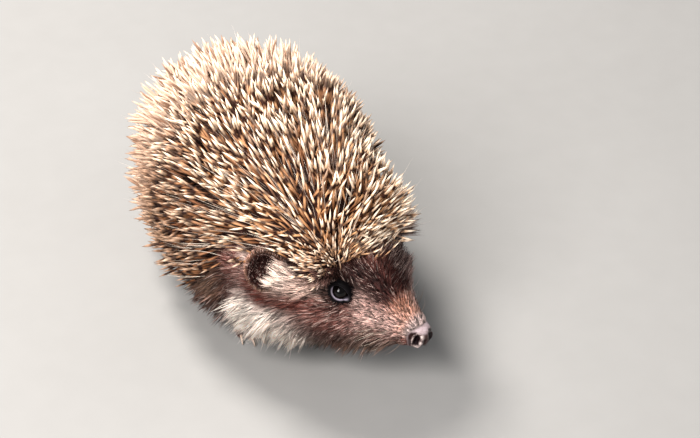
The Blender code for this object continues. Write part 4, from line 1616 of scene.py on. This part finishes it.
# %% Guard hairs
GUARD_COUNT = 420
GUARD_LENGTHS = (13, 20)
GUARD_RADIUS = 0.085
weight = marks["quilled"] * (0.25 + ramp(skin_back, 34, 40) * (1 - marks["body"]) * 1.4) + 1e-7
starts, outs = scatter(GUARD_COUNT, weight)
flat = quill_lie(starts, outs)
guard_ways = strewn(tilted(flat, outs, np.full(GUARD_COUNT, 46.0)), 13)
guard_ends = strewn(tilted(flat, outs, np.full(GUARD_COUNT, 34.0)), 9)
long = rng.uniform(*GUARD_LENGTHS, GUARD_COUNT)
clear = ~over_ear(starts + (guard_ways + guard_ends) / 2 * long[:, None] * 0.6)
guards = grow(
    "guard_hairs", WHISKER_SPIKE, starts[clear], guard_ways[clear], guard_ends[clear], long[clear],
    np.full(clear.sum(), GUARD_RADIUS), {"Shade": rng.uniform(0.4, 1, clear.sum())},
)
print("guard hairs:", int(clear.sum()))

# %% [markdown]
# ## Eyes
#
# A hedgehog's eye is a nearly black bead: iris and pupil hardly differ. The ball is a sphere with its
# front pushed out a little as the cornea. Its gloss comes from a clear coat over a nearly black body.

# %% Eyeballs
CORNEA_BULGE = 0.28
CORNEA_STEEPNESS = 6


def eyeball(name, side):
    """A ball with a raised cornea, turned the way that eye looks."""
    centre, facing, along, upward = eye_frame(side)
    bm = bmesh.new()
    bmesh.ops.create_icosphere(
        bm, subdivisions=5, radius=1, matrix=placed(centre, (along, upward, facing), (EYE_RADIUS,) * 3)
    )
    spot, ahead = Vector(metres(centre)), Vector(facing)
    for v in bm.verts:
        away = v.co - spot
        front = max(0.0, away.normalized() @ ahead)
        v.co += ahead * CORNEA_BULGE * MM * front ** CORNEA_STEEPNESS
    bmesh.ops.recalc_face_normals(bm, faces=bm.faces)
    made = object_from(bm, name)
    made.data.shade_smooth()
    return made


eyes = {side: eyeball(f"eyeball_{word}", side) for side, word in SIDES.items()}
print("eyeballs:", [len(e.data.polygons) for e in eyes.values()], "faces")

# %% [markdown]
# ## Claws
#
# Each digit ends in a slim, curved claw, five to a paw. A claw is a small ring drawn out along an arc
# and narrowed to its end. It starts inside the toe, so that the skin closes round it.

# %% Claws
CLAW_RADII = (0.78, 0.16)
CLAW_FLOOR = 0.3
CLAW_ARCH = 0.42
CLAW_RINGS = 9
CLAW_SIDES = 12
CLAW_IN_TOE = 0.9
CLAW_RISE = 0.35
CLAW_TAPER = 0.8
CLAW_SLIMNESS = 0.85


def add_claw(bm, leg, digit):
    """Adds the claw of one digit: a ring that is drawn out along an arc, step by step."""
    _, tip, way = toe_line(leg, digit)
    start = tip - way * CLAW_IN_TOE + np.array((0, 0, CLAW_RISE))
    end = tip + way * leg["claw"]
    end[2] = CLAW_FLOOR
    aside = np.cross(way, (0, 0, 1))
    edge = None
    for t in np.linspace(0, 1, CLAW_RINGS):
        spot = start + (end - start) * t + np.array((0, 0, CLAW_ARCH * 4 * t * (1 - t)))
        slope = unit(end - start + np.array((0, 0, CLAW_ARCH * 4 * (1 - 2 * t))))
        radius = CLAW_RADII[0] * (1 - t) ** CLAW_TAPER + CLAW_RADII[1] * t
        size = (radius * CLAW_SLIMNESS, radius, 1)
        matrix = placed(spot, (aside, np.cross(slope, aside), slope), size)
        if edge is None:
            made = bmesh.ops.create_circle(bm, cap_ends=True, segments=CLAW_SIDES, radius=1, matrix=matrix)
            edge = list(dict.fromkeys(e for v in made["verts"] for e in v.link_edges))
            flat = [(matrix.inverted() @ v.co).to_2d() for v in made["verts"]]
            ring_now = list(made["verts"])
            continue
        grown = bmesh.ops.extrude_edge_only(bm, edges=edge)["geom"]
        fresh = [v for v in grown if isinstance(v, bmesh.types.BMVert)]
        edge = [e for e in grown if isinstance(e, bmesh.types.BMEdge)]
        moved = []
        for v in fresh:
            nearest = min(range(len(ring_now)), key=lambda i: (ring_now[i].co - v.co).length)
            moved.append((v, flat[nearest]))
        for v, place in moved:
            v.co = matrix @ Vector((place.x, place.y, 0))
        ring_now, flat = [m[0] for m in moved], [m[1] for m in moved]
    bmesh.ops.holes_fill(bm, edges=edge)


claws = {}
for paw, leg in LEGS.items():
    bm = bmesh.new()
    for digit in range(DIGITS):
        add_claw(bm, leg, digit)
    bmesh.ops.recalc_face_normals(bm, faces=bm.faces)
    claws[paw] = object_from(bm, paw.replace("leg", "claws"))
    claws[paw].data.shade_smooth()
print("claws:", {paw: len(made.data.polygons) for paw, made in claws.items()})

# %% [markdown]
# ## Markings on the skin
#
# Below the fur the skin carries the same tints, darker as painted shade, because light hardly gets down
# between the hairs; under the quills it is painted nearly black. Masks kept on its points tell the
# material where it is bare or wet, where the nostrils' pits lie, painted dark as shade, where their pale
# edges with painted wet glints lie, and where the pale edge of a lid is.

# %% Keep the skin's colour on its points
SKIN_TONE = 0.22
# Painted shade: under the quills the skin is painted nearly black, as little light reaches it there.
QUILLED_SKIN_SHADE = (0.030, 0.012, 0.008)
ground = coat_colour(marks, len(skin_points)) * SKIN_TONE
ground = ground + (np.array(QUILLED_SKIN_SHADE) - ground) * marks["quilled"][:, None]
keep_values(skin.data, "Coat", ground)
print("skin tone from", np.round(ground.min(axis=0), 3), "to", np.round(ground.max(axis=0), 3))

# %% Masks of the bare nose
# The pale edges, partly pale skin and partly painted wet glints, are strong on the right nostril and
# hardly show on the left one.
PALE_EDGE_GLINT_STRENGTH = {1: 0.12, -1: 1}
bare, wet = nose_skin(skin_points)
pit, pale_edge_glint = np.zeros(len(skin_points)), np.zeros(len(skin_points))
on_ball = NOSE_CENTRE + unit(skin_points - NOSE_CENTRE) * NOSE_BALL
for side in SIDES:
    from_pit = distance_to_path(on_ball, nose_path("pit", side))
    from_wall = distance_to_path(on_ball, nose_path("wall", side))
    from_lip = distance_to_path(on_ball, nose_path("lip", side))
    # Painted shade: the nostrils' pits are painted nearly black, as the deep holes behind them would be.
    pit = np.maximum(pit, 1 - ramp(from_pit, 0.8, 1.25))
    # Pale edges round the pits, along the walls and the lip: partly pale skin, partly painted wet
    # highlights.
    edges = np.maximum(0.4 * bump(np.abs(from_pit - 1.5), 0.35), 0.8 * bump(from_wall, 0.75))
    edges = np.maximum(edges, bump(from_lip, 0.5))
    pale_edge_glint = np.maximum(pale_edge_glint, edges * PALE_EDGE_GLINT_STRENGTH[side])
keep_values(skin.data, "Bare", bare)
keep_values(skin.data, "Wet", wet)
keep_values(skin.data, "PitShade", pit)
keep_values(skin.data, "PaleEdgeGlint", pale_edge_glint * wet)
print("bare nose points:", int((bare > 0.5).sum()), "wet:", int((wet > 0.5).sum()))

# %% Masks round the eyes
lid = np.empty(len(skin.data.vertices))
skin.data.attributes["Lid"].data.foreach_get("value", lid)
around_eye, rim = np.zeros(len(skin_points)), np.zeros(len(skin_points))
for side in SIDES:
    centre, facing, along_lid, up_lid = eye_frame(side)
    away = skin_points - centre
    around_eye = np.maximum(around_eye, np.minimum(1, 1.6 * bump(np.linalg.norm(away, axis=1), 6)))
    height = away @ up_lid / np.maximum(np.hypot(away @ along_lid, away @ up_lid), 0.1)
    near = np.linalg.norm(away, axis=1) < 6
    rim = np.maximum(rim, near * ramp(lid, 1.90, 2.0) * (1 - 0.97 * ramp(height, -0.4, 0.1)))
keep_values(skin.data, "EyeShade", np.maximum(around_eye, np.clip(lid * 2, 0, 1)))
keep_values(skin.data, "Rim", rim)
print("points on the pale edges of the lids:", int((rim > 0.5).sum()))

# %% [markdown]
# ## Materials
#
# One shader group, Fine Mottle, gives every hairy surface its small changes of tone: two scales of
# noise, mixed, with a height for bump. The coat's materials differ in how they read the strand: quills
# have bands along their length with painted shade at the root, and fur has painted shade towards its
# root and is paler at its tip, partly as painted light. Colours are given as stops: a place between 0
# and 1 and the colour there.

# %% Node helpers
def new_material(name):
    """A material, its node tree and its main shader."""
    material = bpy.data.materials.new(name)
    material.use_nodes = True
    return material, material.node_tree, material.node_tree.nodes["Principled BSDF"]


def attribute(tree, name):
    node = tree.nodes.new("ShaderNodeAttribute")
    node.attribute_name = name
    return node.outputs


def math_node(tree, operation, *values):
    """The result of one operation on numbers or on other nodes' outputs."""
    node = tree.nodes.new("ShaderNodeMath")
    node.operation = operation
    for socket, value in zip(node.inputs, values):
        if isinstance(value, (int, float)):
            socket.default_value = value
        else:
            tree.links.new(value, socket)
    return node.outputs[0]


def mix_colour(tree, factor, first, second, blend="MIX"):
    """The second colour over the first, as strongly as factor says."""
    node = tree.nodes.new("ShaderNodeMix")
    node.data_type = "RGBA"
    node.blend_type = blend
    node.clamp_factor = True
    for socket, value in zip((node.inputs[0], node.inputs[6], node.inputs[7]), (factor, first, second)):
        if isinstance(value, (int, float)):
            socket.default_value = value
        elif isinstance(value, tuple):
            socket.default_value = (*value, 1)
        else:
            tree.links.new(value, socket)
    return node.outputs[2]


def ramp_node(tree, value, stops):
    """A colour for each value, read off between the stops."""
    node = tree.nodes.new("ShaderNodeValToRGB")
    elements = node.color_ramp.elements
    while len(elements) < len(stops):
        elements.new(0.5)
    for element, (place, colour) in zip(elements, stops):
        element.position = place
        element.color = (*colour, 1)
    tree.links.new(value, node.inputs[0])
    return node.outputs[0]


# %% Shared group: fine mottle
def fine_mottle():
    """Builds the group once: coarse and fine noise on Object coordinates, mixed to one tone."""
    group = bpy.data.node_groups.new("Fine Mottle", "ShaderNodeTree")
    face = group.interface
    face.new_socket("Coarse Scale", in_out="INPUT", socket_type="NodeSocketFloat").default_value = 300
    face.new_socket("Fine Scale", in_out="INPUT", socket_type="NodeSocketFloat").default_value = 2500
    face.new_socket("Fine Share", in_out="INPUT", socket_type="NodeSocketFloat").default_value = 0.5
    face.new_socket("Tone", in_out="OUTPUT", socket_type="NodeSocketFloat")
    inlet = group.nodes.new("NodeGroupInput")
    outlet = group.nodes.new("NodeGroupOutput")
    place = group.nodes.new("ShaderNodeTexCoord")
    tones = []
    for socket in ("Coarse Scale", "Fine Scale"):
        noise = group.nodes.new("ShaderNodeTexNoise")
        noise.inputs["Detail"].default_value = 3
        group.links.new(place.outputs["Object"], noise.inputs["Vector"])
        group.links.new(inlet.outputs[socket], noise.inputs["Scale"])
        tones.append(noise.outputs[0])
    blend = group.nodes.new("ShaderNodeMix")
    group.links.new(inlet.outputs["Fine Share"], blend.inputs[0])
    group.links.new(tones[0], blend.inputs[2])
    group.links.new(tones[1], blend.inputs[3])
    group.links.new(blend.outputs[0], outlet.inputs["Tone"])
    return group


MOTTLE = fine_mottle()


def mottle(tree, coarse, fine, share):
    node = tree.nodes.new("ShaderNodeGroup")
    node.node_tree = MOTTLE
    node.inputs["Coarse Scale"].default_value = coarse
    node.inputs["Fine Scale"].default_value = fine
    node.inputs["Fine Share"].default_value = share
    return node.outputs["Tone"]


def add_bump(tree, shader, height, strength, distance):
    """Lets the height catch the light as fine relief."""
    node = tree.nodes.new("ShaderNodeBump")
    node.inputs["Strength"].default_value = strength
    node.inputs["Distance"].default_value = distance
    tree.links.new(height, node.inputs["Height"])
    tree.links.new(node.outputs[0], shader.inputs["Normal"])


print("shared group:", MOTTLE.name)

# %% Quills
# Bands from the root to the tip: the common quill, the golden one of the brow and the tone of pale
# and lit ones. Both ramps start nearly black at the root: painted shade deep between the quills.
QUILL_BANDS_ROOT_SHADE = [
    (0.0, (0.022, 0.008, 0.004)), (0.26, (0.17, 0.070, 0.034)), (0.48, (0.38, 0.175, 0.086)),
    (0.58, (0.030, 0.009, 0.005)), (0.77, (0.026, 0.008, 0.004)), (0.83, (0.55, 0.33, 0.19)),
    (0.88, (0.86, 0.67, 0.52)), (1.0, (0.80, 0.60, 0.45)),
]
WARM_BANDS_ROOT_SHADE = [
    (0.0, (0.028, 0.010, 0.005)), (0.22, (0.36, 0.15, 0.062)), (0.50, (0.88, 0.49, 0.24)),
    (0.58, (0.040, 0.012, 0.006)), (0.67, (0.036, 0.011, 0.006)), (0.72, (0.86, 0.56, 0.34)),
    (0.82, (1.0, 0.86, 0.69)), (1.0, (0.94, 0.74, 0.55)),
]
# Tone of pale quills, which towards the rump is painted light.
PALE_AND_LIT_QUILL = (0.80, 0.585, 0.445)
DIM_QUILL = (0.38, 0.30, 0.26)
BAND_SHIFT = 0.16
quill_finish, tree, shader = new_material("quill")
along_quill = attribute(tree, "Along")["Fac"]
shade_quill = attribute(tree, "Shade")["Fac"]
off_middle = math_node(tree, "SUBTRACT", shade_quill, 0.5)
shifted = math_node(tree, "MULTIPLY_ADD", off_middle, BAND_SHIFT, along_quill)
bands = mix_colour(
    tree, attribute(tree, "Warmth")["Fac"], ramp_node(tree, shifted, QUILL_BANDS_ROOT_SHADE),
    ramp_node(tree, shifted, WARM_BANDS_ROOT_SHADE),
)
pale_and_lit_share = math_node(tree, "MULTIPLY", attribute(tree, "PaleAndLit")["Fac"], 0.8)
bands = mix_colour(tree, pale_and_lit_share, bands, PALE_AND_LIT_QUILL)
tone = mottle(tree, 260, 3000, 0.5)
worn = ramp_node(tree, tone, [(0.3, (0.55,) * 3), (0.7, (1.0,) * 3)])
bands = mix_colour(tree, 0.5, bands, worn, "MULTIPLY")
dimmed = mix_colour(tree, attribute(tree, "Dim")["Fac"], (1.0, 1.0, 1.0), DIM_QUILL)
bands = mix_colour(tree, 1.0, bands, dimmed, "MULTIPLY")
tree.links.new(bands, shader.inputs["Base Color"])
shader.inputs["Roughness"].default_value = 0.48
shader.inputs["Specular IOR Level"].default_value = 0.1
add_bump(tree, shader, tone, 0.25, 0.0002)

# %% Fur
fur_finish, tree, shader = new_material("fur")
along_hair = attribute(tree, "Along")["Fac"]
tone = mottle(tree, 420, 3000, 0.4)
# Painted shade and light: each lock darkens towards its root as if deep in the coat, and brightens towards
# its tip, partly its own paler tip and partly painted light.
root_shade_tip_light = ramp_node(tree, along_hair, [(0.0, (0.14,) * 3), (0.45, (0.70,) * 3), (1.0, (1.4,) * 3)])
shade_hair = ramp_node(
    tree, attribute(tree, "Shade")["Fac"], [(0.0, (0.16,) * 3), (0.5, (0.85,) * 3), (1.0, (1.8,) * 3)]
)
hair_colour = mix_colour(tree, 1.0, attribute(tree, "Coat")["Color"], root_shade_tip_light, "MULTIPLY")
hair_colour = mix_colour(tree, 1.0, hair_colour, shade_hair, "MULTIPLY")
uneven = ramp_node(tree, tone, [(0.3, (0.6,) * 3), (0.7, (1.15,) * 3)])
hair_colour = mix_colour(tree, 0.6, hair_colour, uneven, "MULTIPLY")
tree.links.new(hair_colour, shader.inputs["Base Color"])
shader.inputs["Roughness"].default_value = 0.5
shader.inputs["Specular IOR Level"].default_value = 0.12

# %% Whiskers and guard hairs
# Each hair has one tone, from nearly black to straw, by its own shade.
LONG_HAIR_TONES = [(0.0, (0.05, 0.028, 0.02)), (0.4, (0.22, 0.13, 0.09)), (1.0, (0.82, 0.70, 0.58))]
whisker_finish, tree, shader = new_material("long_hair")
hair_tone = ramp_node(tree, attribute(tree, "Shade")["Fac"], LONG_HAIR_TONES)
tree.links.new(hair_tone, shader.inputs["Base Color"])
shader.inputs["Roughness"].default_value = 0.4

# %% Skin with its wet nose and lids
# Later layers cover earlier ones: furred skin, eye surrounds, nose pad, its wet part, pale edges with
# painted wet glints, pits in painted shade, lids.
NOSE_PAD = [(0.3, (0.19, 0.13, 0.135)), (0.5, (0.36, 0.28, 0.29)), (0.75, (0.50, 0.40, 0.42))]
WET_NOSE = [(0.3, (0.006, 0.002, 0.002)), (0.55, (0.020, 0.006, 0.006)), (0.8, (0.060, 0.022, 0.020))]
# Pale nostril edges: partly pale skin, partly painted wet highlights.
PALE_EDGE_GLINT_TONES = [(0.42, (0.06, 0.028, 0.028)), (0.56, (0.85, 0.70, 0.66))]
EYE_SURROUND = (0.0016, 0.0011, 0.0014)
# Painted shade: nearly black in the nostrils' pits.
PIT_SHADE = (0.006, 0.002, 0.003)
LID_EDGE = (0.33, 0.285, 0.35)
skin_finish, tree, shader = new_material("skin")
tone = mottle(tree, 500, 2600, 0.5)
pebbles = tree.nodes.new("ShaderNodeTexVoronoi")
pebbles.inputs["Scale"].default_value = 1900
place = tree.nodes.new("ShaderNodeTexCoord")
tree.links.new(place.outputs["Object"], pebbles.inputs["Vector"])
bare_mask = attribute(tree, "Bare")["Fac"]
wet_mask = attribute(tree, "Wet")["Fac"]
lid_mask = attribute(tree, "Lid")["Fac"]
flecks = ramp_node(tree, tone, [(0.3, (0.5,) * 3), (0.7, (1.3,) * 3)])
colour = mix_colour(tree, 0.8, attribute(tree, "Coat")["Color"], flecks, "MULTIPLY")
colour = mix_colour(tree, attribute(tree, "EyeShade")["Fac"], colour, EYE_SURROUND)
colour = mix_colour(tree, bare_mask, colour, ramp_node(tree, tone, NOSE_PAD))
colour = mix_colour(tree, wet_mask, colour, ramp_node(tree, tone, WET_NOSE))
pale_edge_glint_share = math_node(tree, "MULTIPLY", attribute(tree, "PaleEdgeGlint")["Fac"], 0.85)
colour = mix_colour(tree, pale_edge_glint_share, colour, ramp_node(tree, tone, PALE_EDGE_GLINT_TONES))
colour = mix_colour(tree, attribute(tree, "PitShade")["Fac"], colour, PIT_SHADE)
colour = mix_colour(tree, attribute(tree, "Rim")["Fac"], colour, LID_EDGE)
tree.links.new(colour, shader.inputs["Base Color"])
gloss = math_node(tree, "MAXIMUM", wet_mask, math_node(tree, "MULTIPLY", lid_mask, 0.04))
rough = math_node(tree, "MULTIPLY_ADD", gloss, -0.3, 0.62)
tree.links.new(rough, shader.inputs["Roughness"])
tree.links.new(math_node(tree, "MULTIPLY", gloss, 0.24), shader.inputs["Coat Weight"])
shader.inputs["Coat Roughness"].default_value = 0.07
shader.inputs["Specular IOR Level"].default_value = 0.08
grain = math_node(tree, "MULTIPLY_ADD", pebbles.outputs["Distance"], bare_mask, tone)
add_bump(tree, shader, grain, 0.5, 0.00025)

# %% Eyes
EYE_TONES = [(0.3, (0.0006, 0.0005, 0.0005)), (0.7, (0.002, 0.0013, 0.001))]
eye_finish, tree, shader = new_material("eye")
tone = mottle(tree, 700, 2400, 0.3)
tree.links.new(ramp_node(tree, tone, EYE_TONES), shader.inputs["Base Color"])
shader.inputs["Roughness"].default_value = 0.12
shader.inputs["Specular IOR Level"].default_value = 0.0
shader.inputs["Coat Weight"].default_value = 0.7
shader.inputs["Coat Roughness"].default_value = 0.03
shader.inputs["Coat IOR"].default_value = 1.42

# %% Claws of horn
HORN_TONES = [(0.3, (0.20, 0.13, 0.095)), (0.7, (0.46, 0.34, 0.26))]
claw_finish, tree, shader = new_material("claw")
tone = mottle(tree, 600, 3200, 0.5)
tree.links.new(ramp_node(tree, tone, HORN_TONES), shader.inputs["Base Color"])
shader.inputs["Roughness"].default_value = 0.32
add_bump(tree, shader, tone, 0.3, 0.0001)

# %% Give each piece its finish
FINISHES = [
    (quills, quill_finish), (furs, fur_finish), ([whiskers, guards], whisker_finish),
    ([skin], skin_finish), (eyes.values(), eye_finish), (claws.values(), claw_finish),
]
for pieces, finish in FINISHES:
    for piece in pieces:
        piece.data.materials.append(finish)
print("finishes:", [finish.name for _, finish in FINISHES])

# %% [markdown]
# ## Floor, light and camera
#
# The floor is a plain pale sheet. The key light, a soft disc, hangs above and behind the animal, and a
# wider one hangs over its right side. Two weak ones fill in from the front right and from the left.
# They don't show as reflections, so that the eye keeps a single small glint. A pale world lifts the
# shadows. The camera looks down at the animal from its front right.

# %% Floor
FLOOR_HALF = 1.5
FLOOR_TONES = [(0.3, (0.195, 0.191, 0.186)), (0.7, (0.215, 0.211, 0.206))]
bm = bmesh.new()
bmesh.ops.create_grid(bm, x_segments=1, y_segments=1, size=FLOOR_HALF)
floor = object_from(bm, "floor")
floor_finish, tree, shader = new_material("floor")
tone = mottle(tree, 6, 90, 0.3)
tree.links.new(ramp_node(tree, tone, FLOOR_TONES), shader.inputs["Base Color"])
shader.inputs["Roughness"].default_value = 0.7
floor.data.materials.append(floor_finish)
print("floor:", 2 * FLOOR_HALF, "m across")

# %% Lights
LIGHTS_AIM = Vector((0, 0, 0.03))


def soft_light(name, way, distance, size, power, colour):
    """A disc of light that shines on the animal from the given way; distance and size in metres."""
    data = bpy.data.lights.new(name, "AREA")
    data.shape = "DISK"
    data.size = size
    data.energy = power
    data.color = colour
    made = bpy.data.objects.new(name, data)
    scene.collection.objects.link(made)
    way = Vector(way).normalized()
    made.location = LIGHTS_AIM + way * distance
    made.rotation_mode = "QUATERNION"
    made.rotation_quaternion = way.to_track_quat("Z", "Y")
    return made


soft_light("key", (-0.12, 0.66, 0.9), 1.1, 0.36, 25, (1.0, 0.96, 0.91))
soft_light("side", (-0.9, -0.4, 0.95), 1.0, 0.6, 21, (1.0, 0.97, 0.94))
soft_light("fill", (-0.6, -0.8, 0.3), 1.3, 1.0, 9, (1.0, 0.98, 0.96)).visible_glossy = False
soft_light("far", (0.9, -0.5, 0.45), 1.3, 1.0, 6, (0.97, 0.98, 1.0)).visible_glossy = False
world = bpy.data.worlds.new("studio")
scene.world = world
world.use_nodes = True
world.node_tree.nodes["Background"].inputs[0].default_value = (0.93, 0.96, 1.0, 1)
world.node_tree.nodes["Background"].inputs[1].default_value = 0.26

# %% Camera
AZIMUTH = -29.0
ELEVATION = 36.0
DISTANCE = 0.7
PAN = (0.0256, -0.01596)
CAMERA_LENS = 108.26
AIM_HEIGHT = 0.045
turn, rise = math.radians(AZIMUTH), math.radians(ELEVATION)
to_camera = Vector((math.sin(turn) * math.cos(rise), -math.cos(turn) * math.cos(rise), math.sin(rise)))
sideways = Vector((math.cos(turn), math.sin(turn), 0))
upwards = to_camera.cross(sideways)
camera_data = bpy.data.cameras.new("camera")
camera_data.lens = CAMERA_LENS
camera_data.sensor_width = 36
camera_data.clip_start = 0.05
camera = bpy.data.objects.new("camera", camera_data)
scene.collection.objects.link(camera)
scene.camera = camera
aim = Vector((PLAN_OFFSET[0] * MM, PLAN_OFFSET[1] * MM, AIM_HEIGHT))
camera.location = aim + to_camera * DISTANCE + sideways * PAN[0] + upwards * PAN[1]
camera.rotation_mode = "QUATERNION"
camera.rotation_quaternion = to_camera.to_track_quat("Z", "Y")
scene.view_settings.view_transform = "Standard"
print("camera stands", round(camera.location.z, 2), "m above the floor")

# %% [markdown]
# ## Hang every piece on one body and hide the solids it replaces
#
# The skin stands for every solid of flesh, the eyeballs for the eyes and the claws for the claws. All
# of it rides on the one body, as a still model has no joints.

# %% Body and replaced solids
FLESH = [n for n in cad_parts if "claw" not in n and not n.startswith("eye_")]
for piece in [skin, whiskers, guards, *quills, *furs, *eyes.values(), *claws.values()]:
    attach(piece, "root")
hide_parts(*FLESH)
for side, word in SIDES.items():
    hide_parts(f"eye_{word}")
for paw, made in claws.items():
    end, word = paw.split("_")
    stem = end.replace("leg", "claw")
    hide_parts(*[f"{stem}_{word}_{i + 1}" for i in range(DIGITS)])
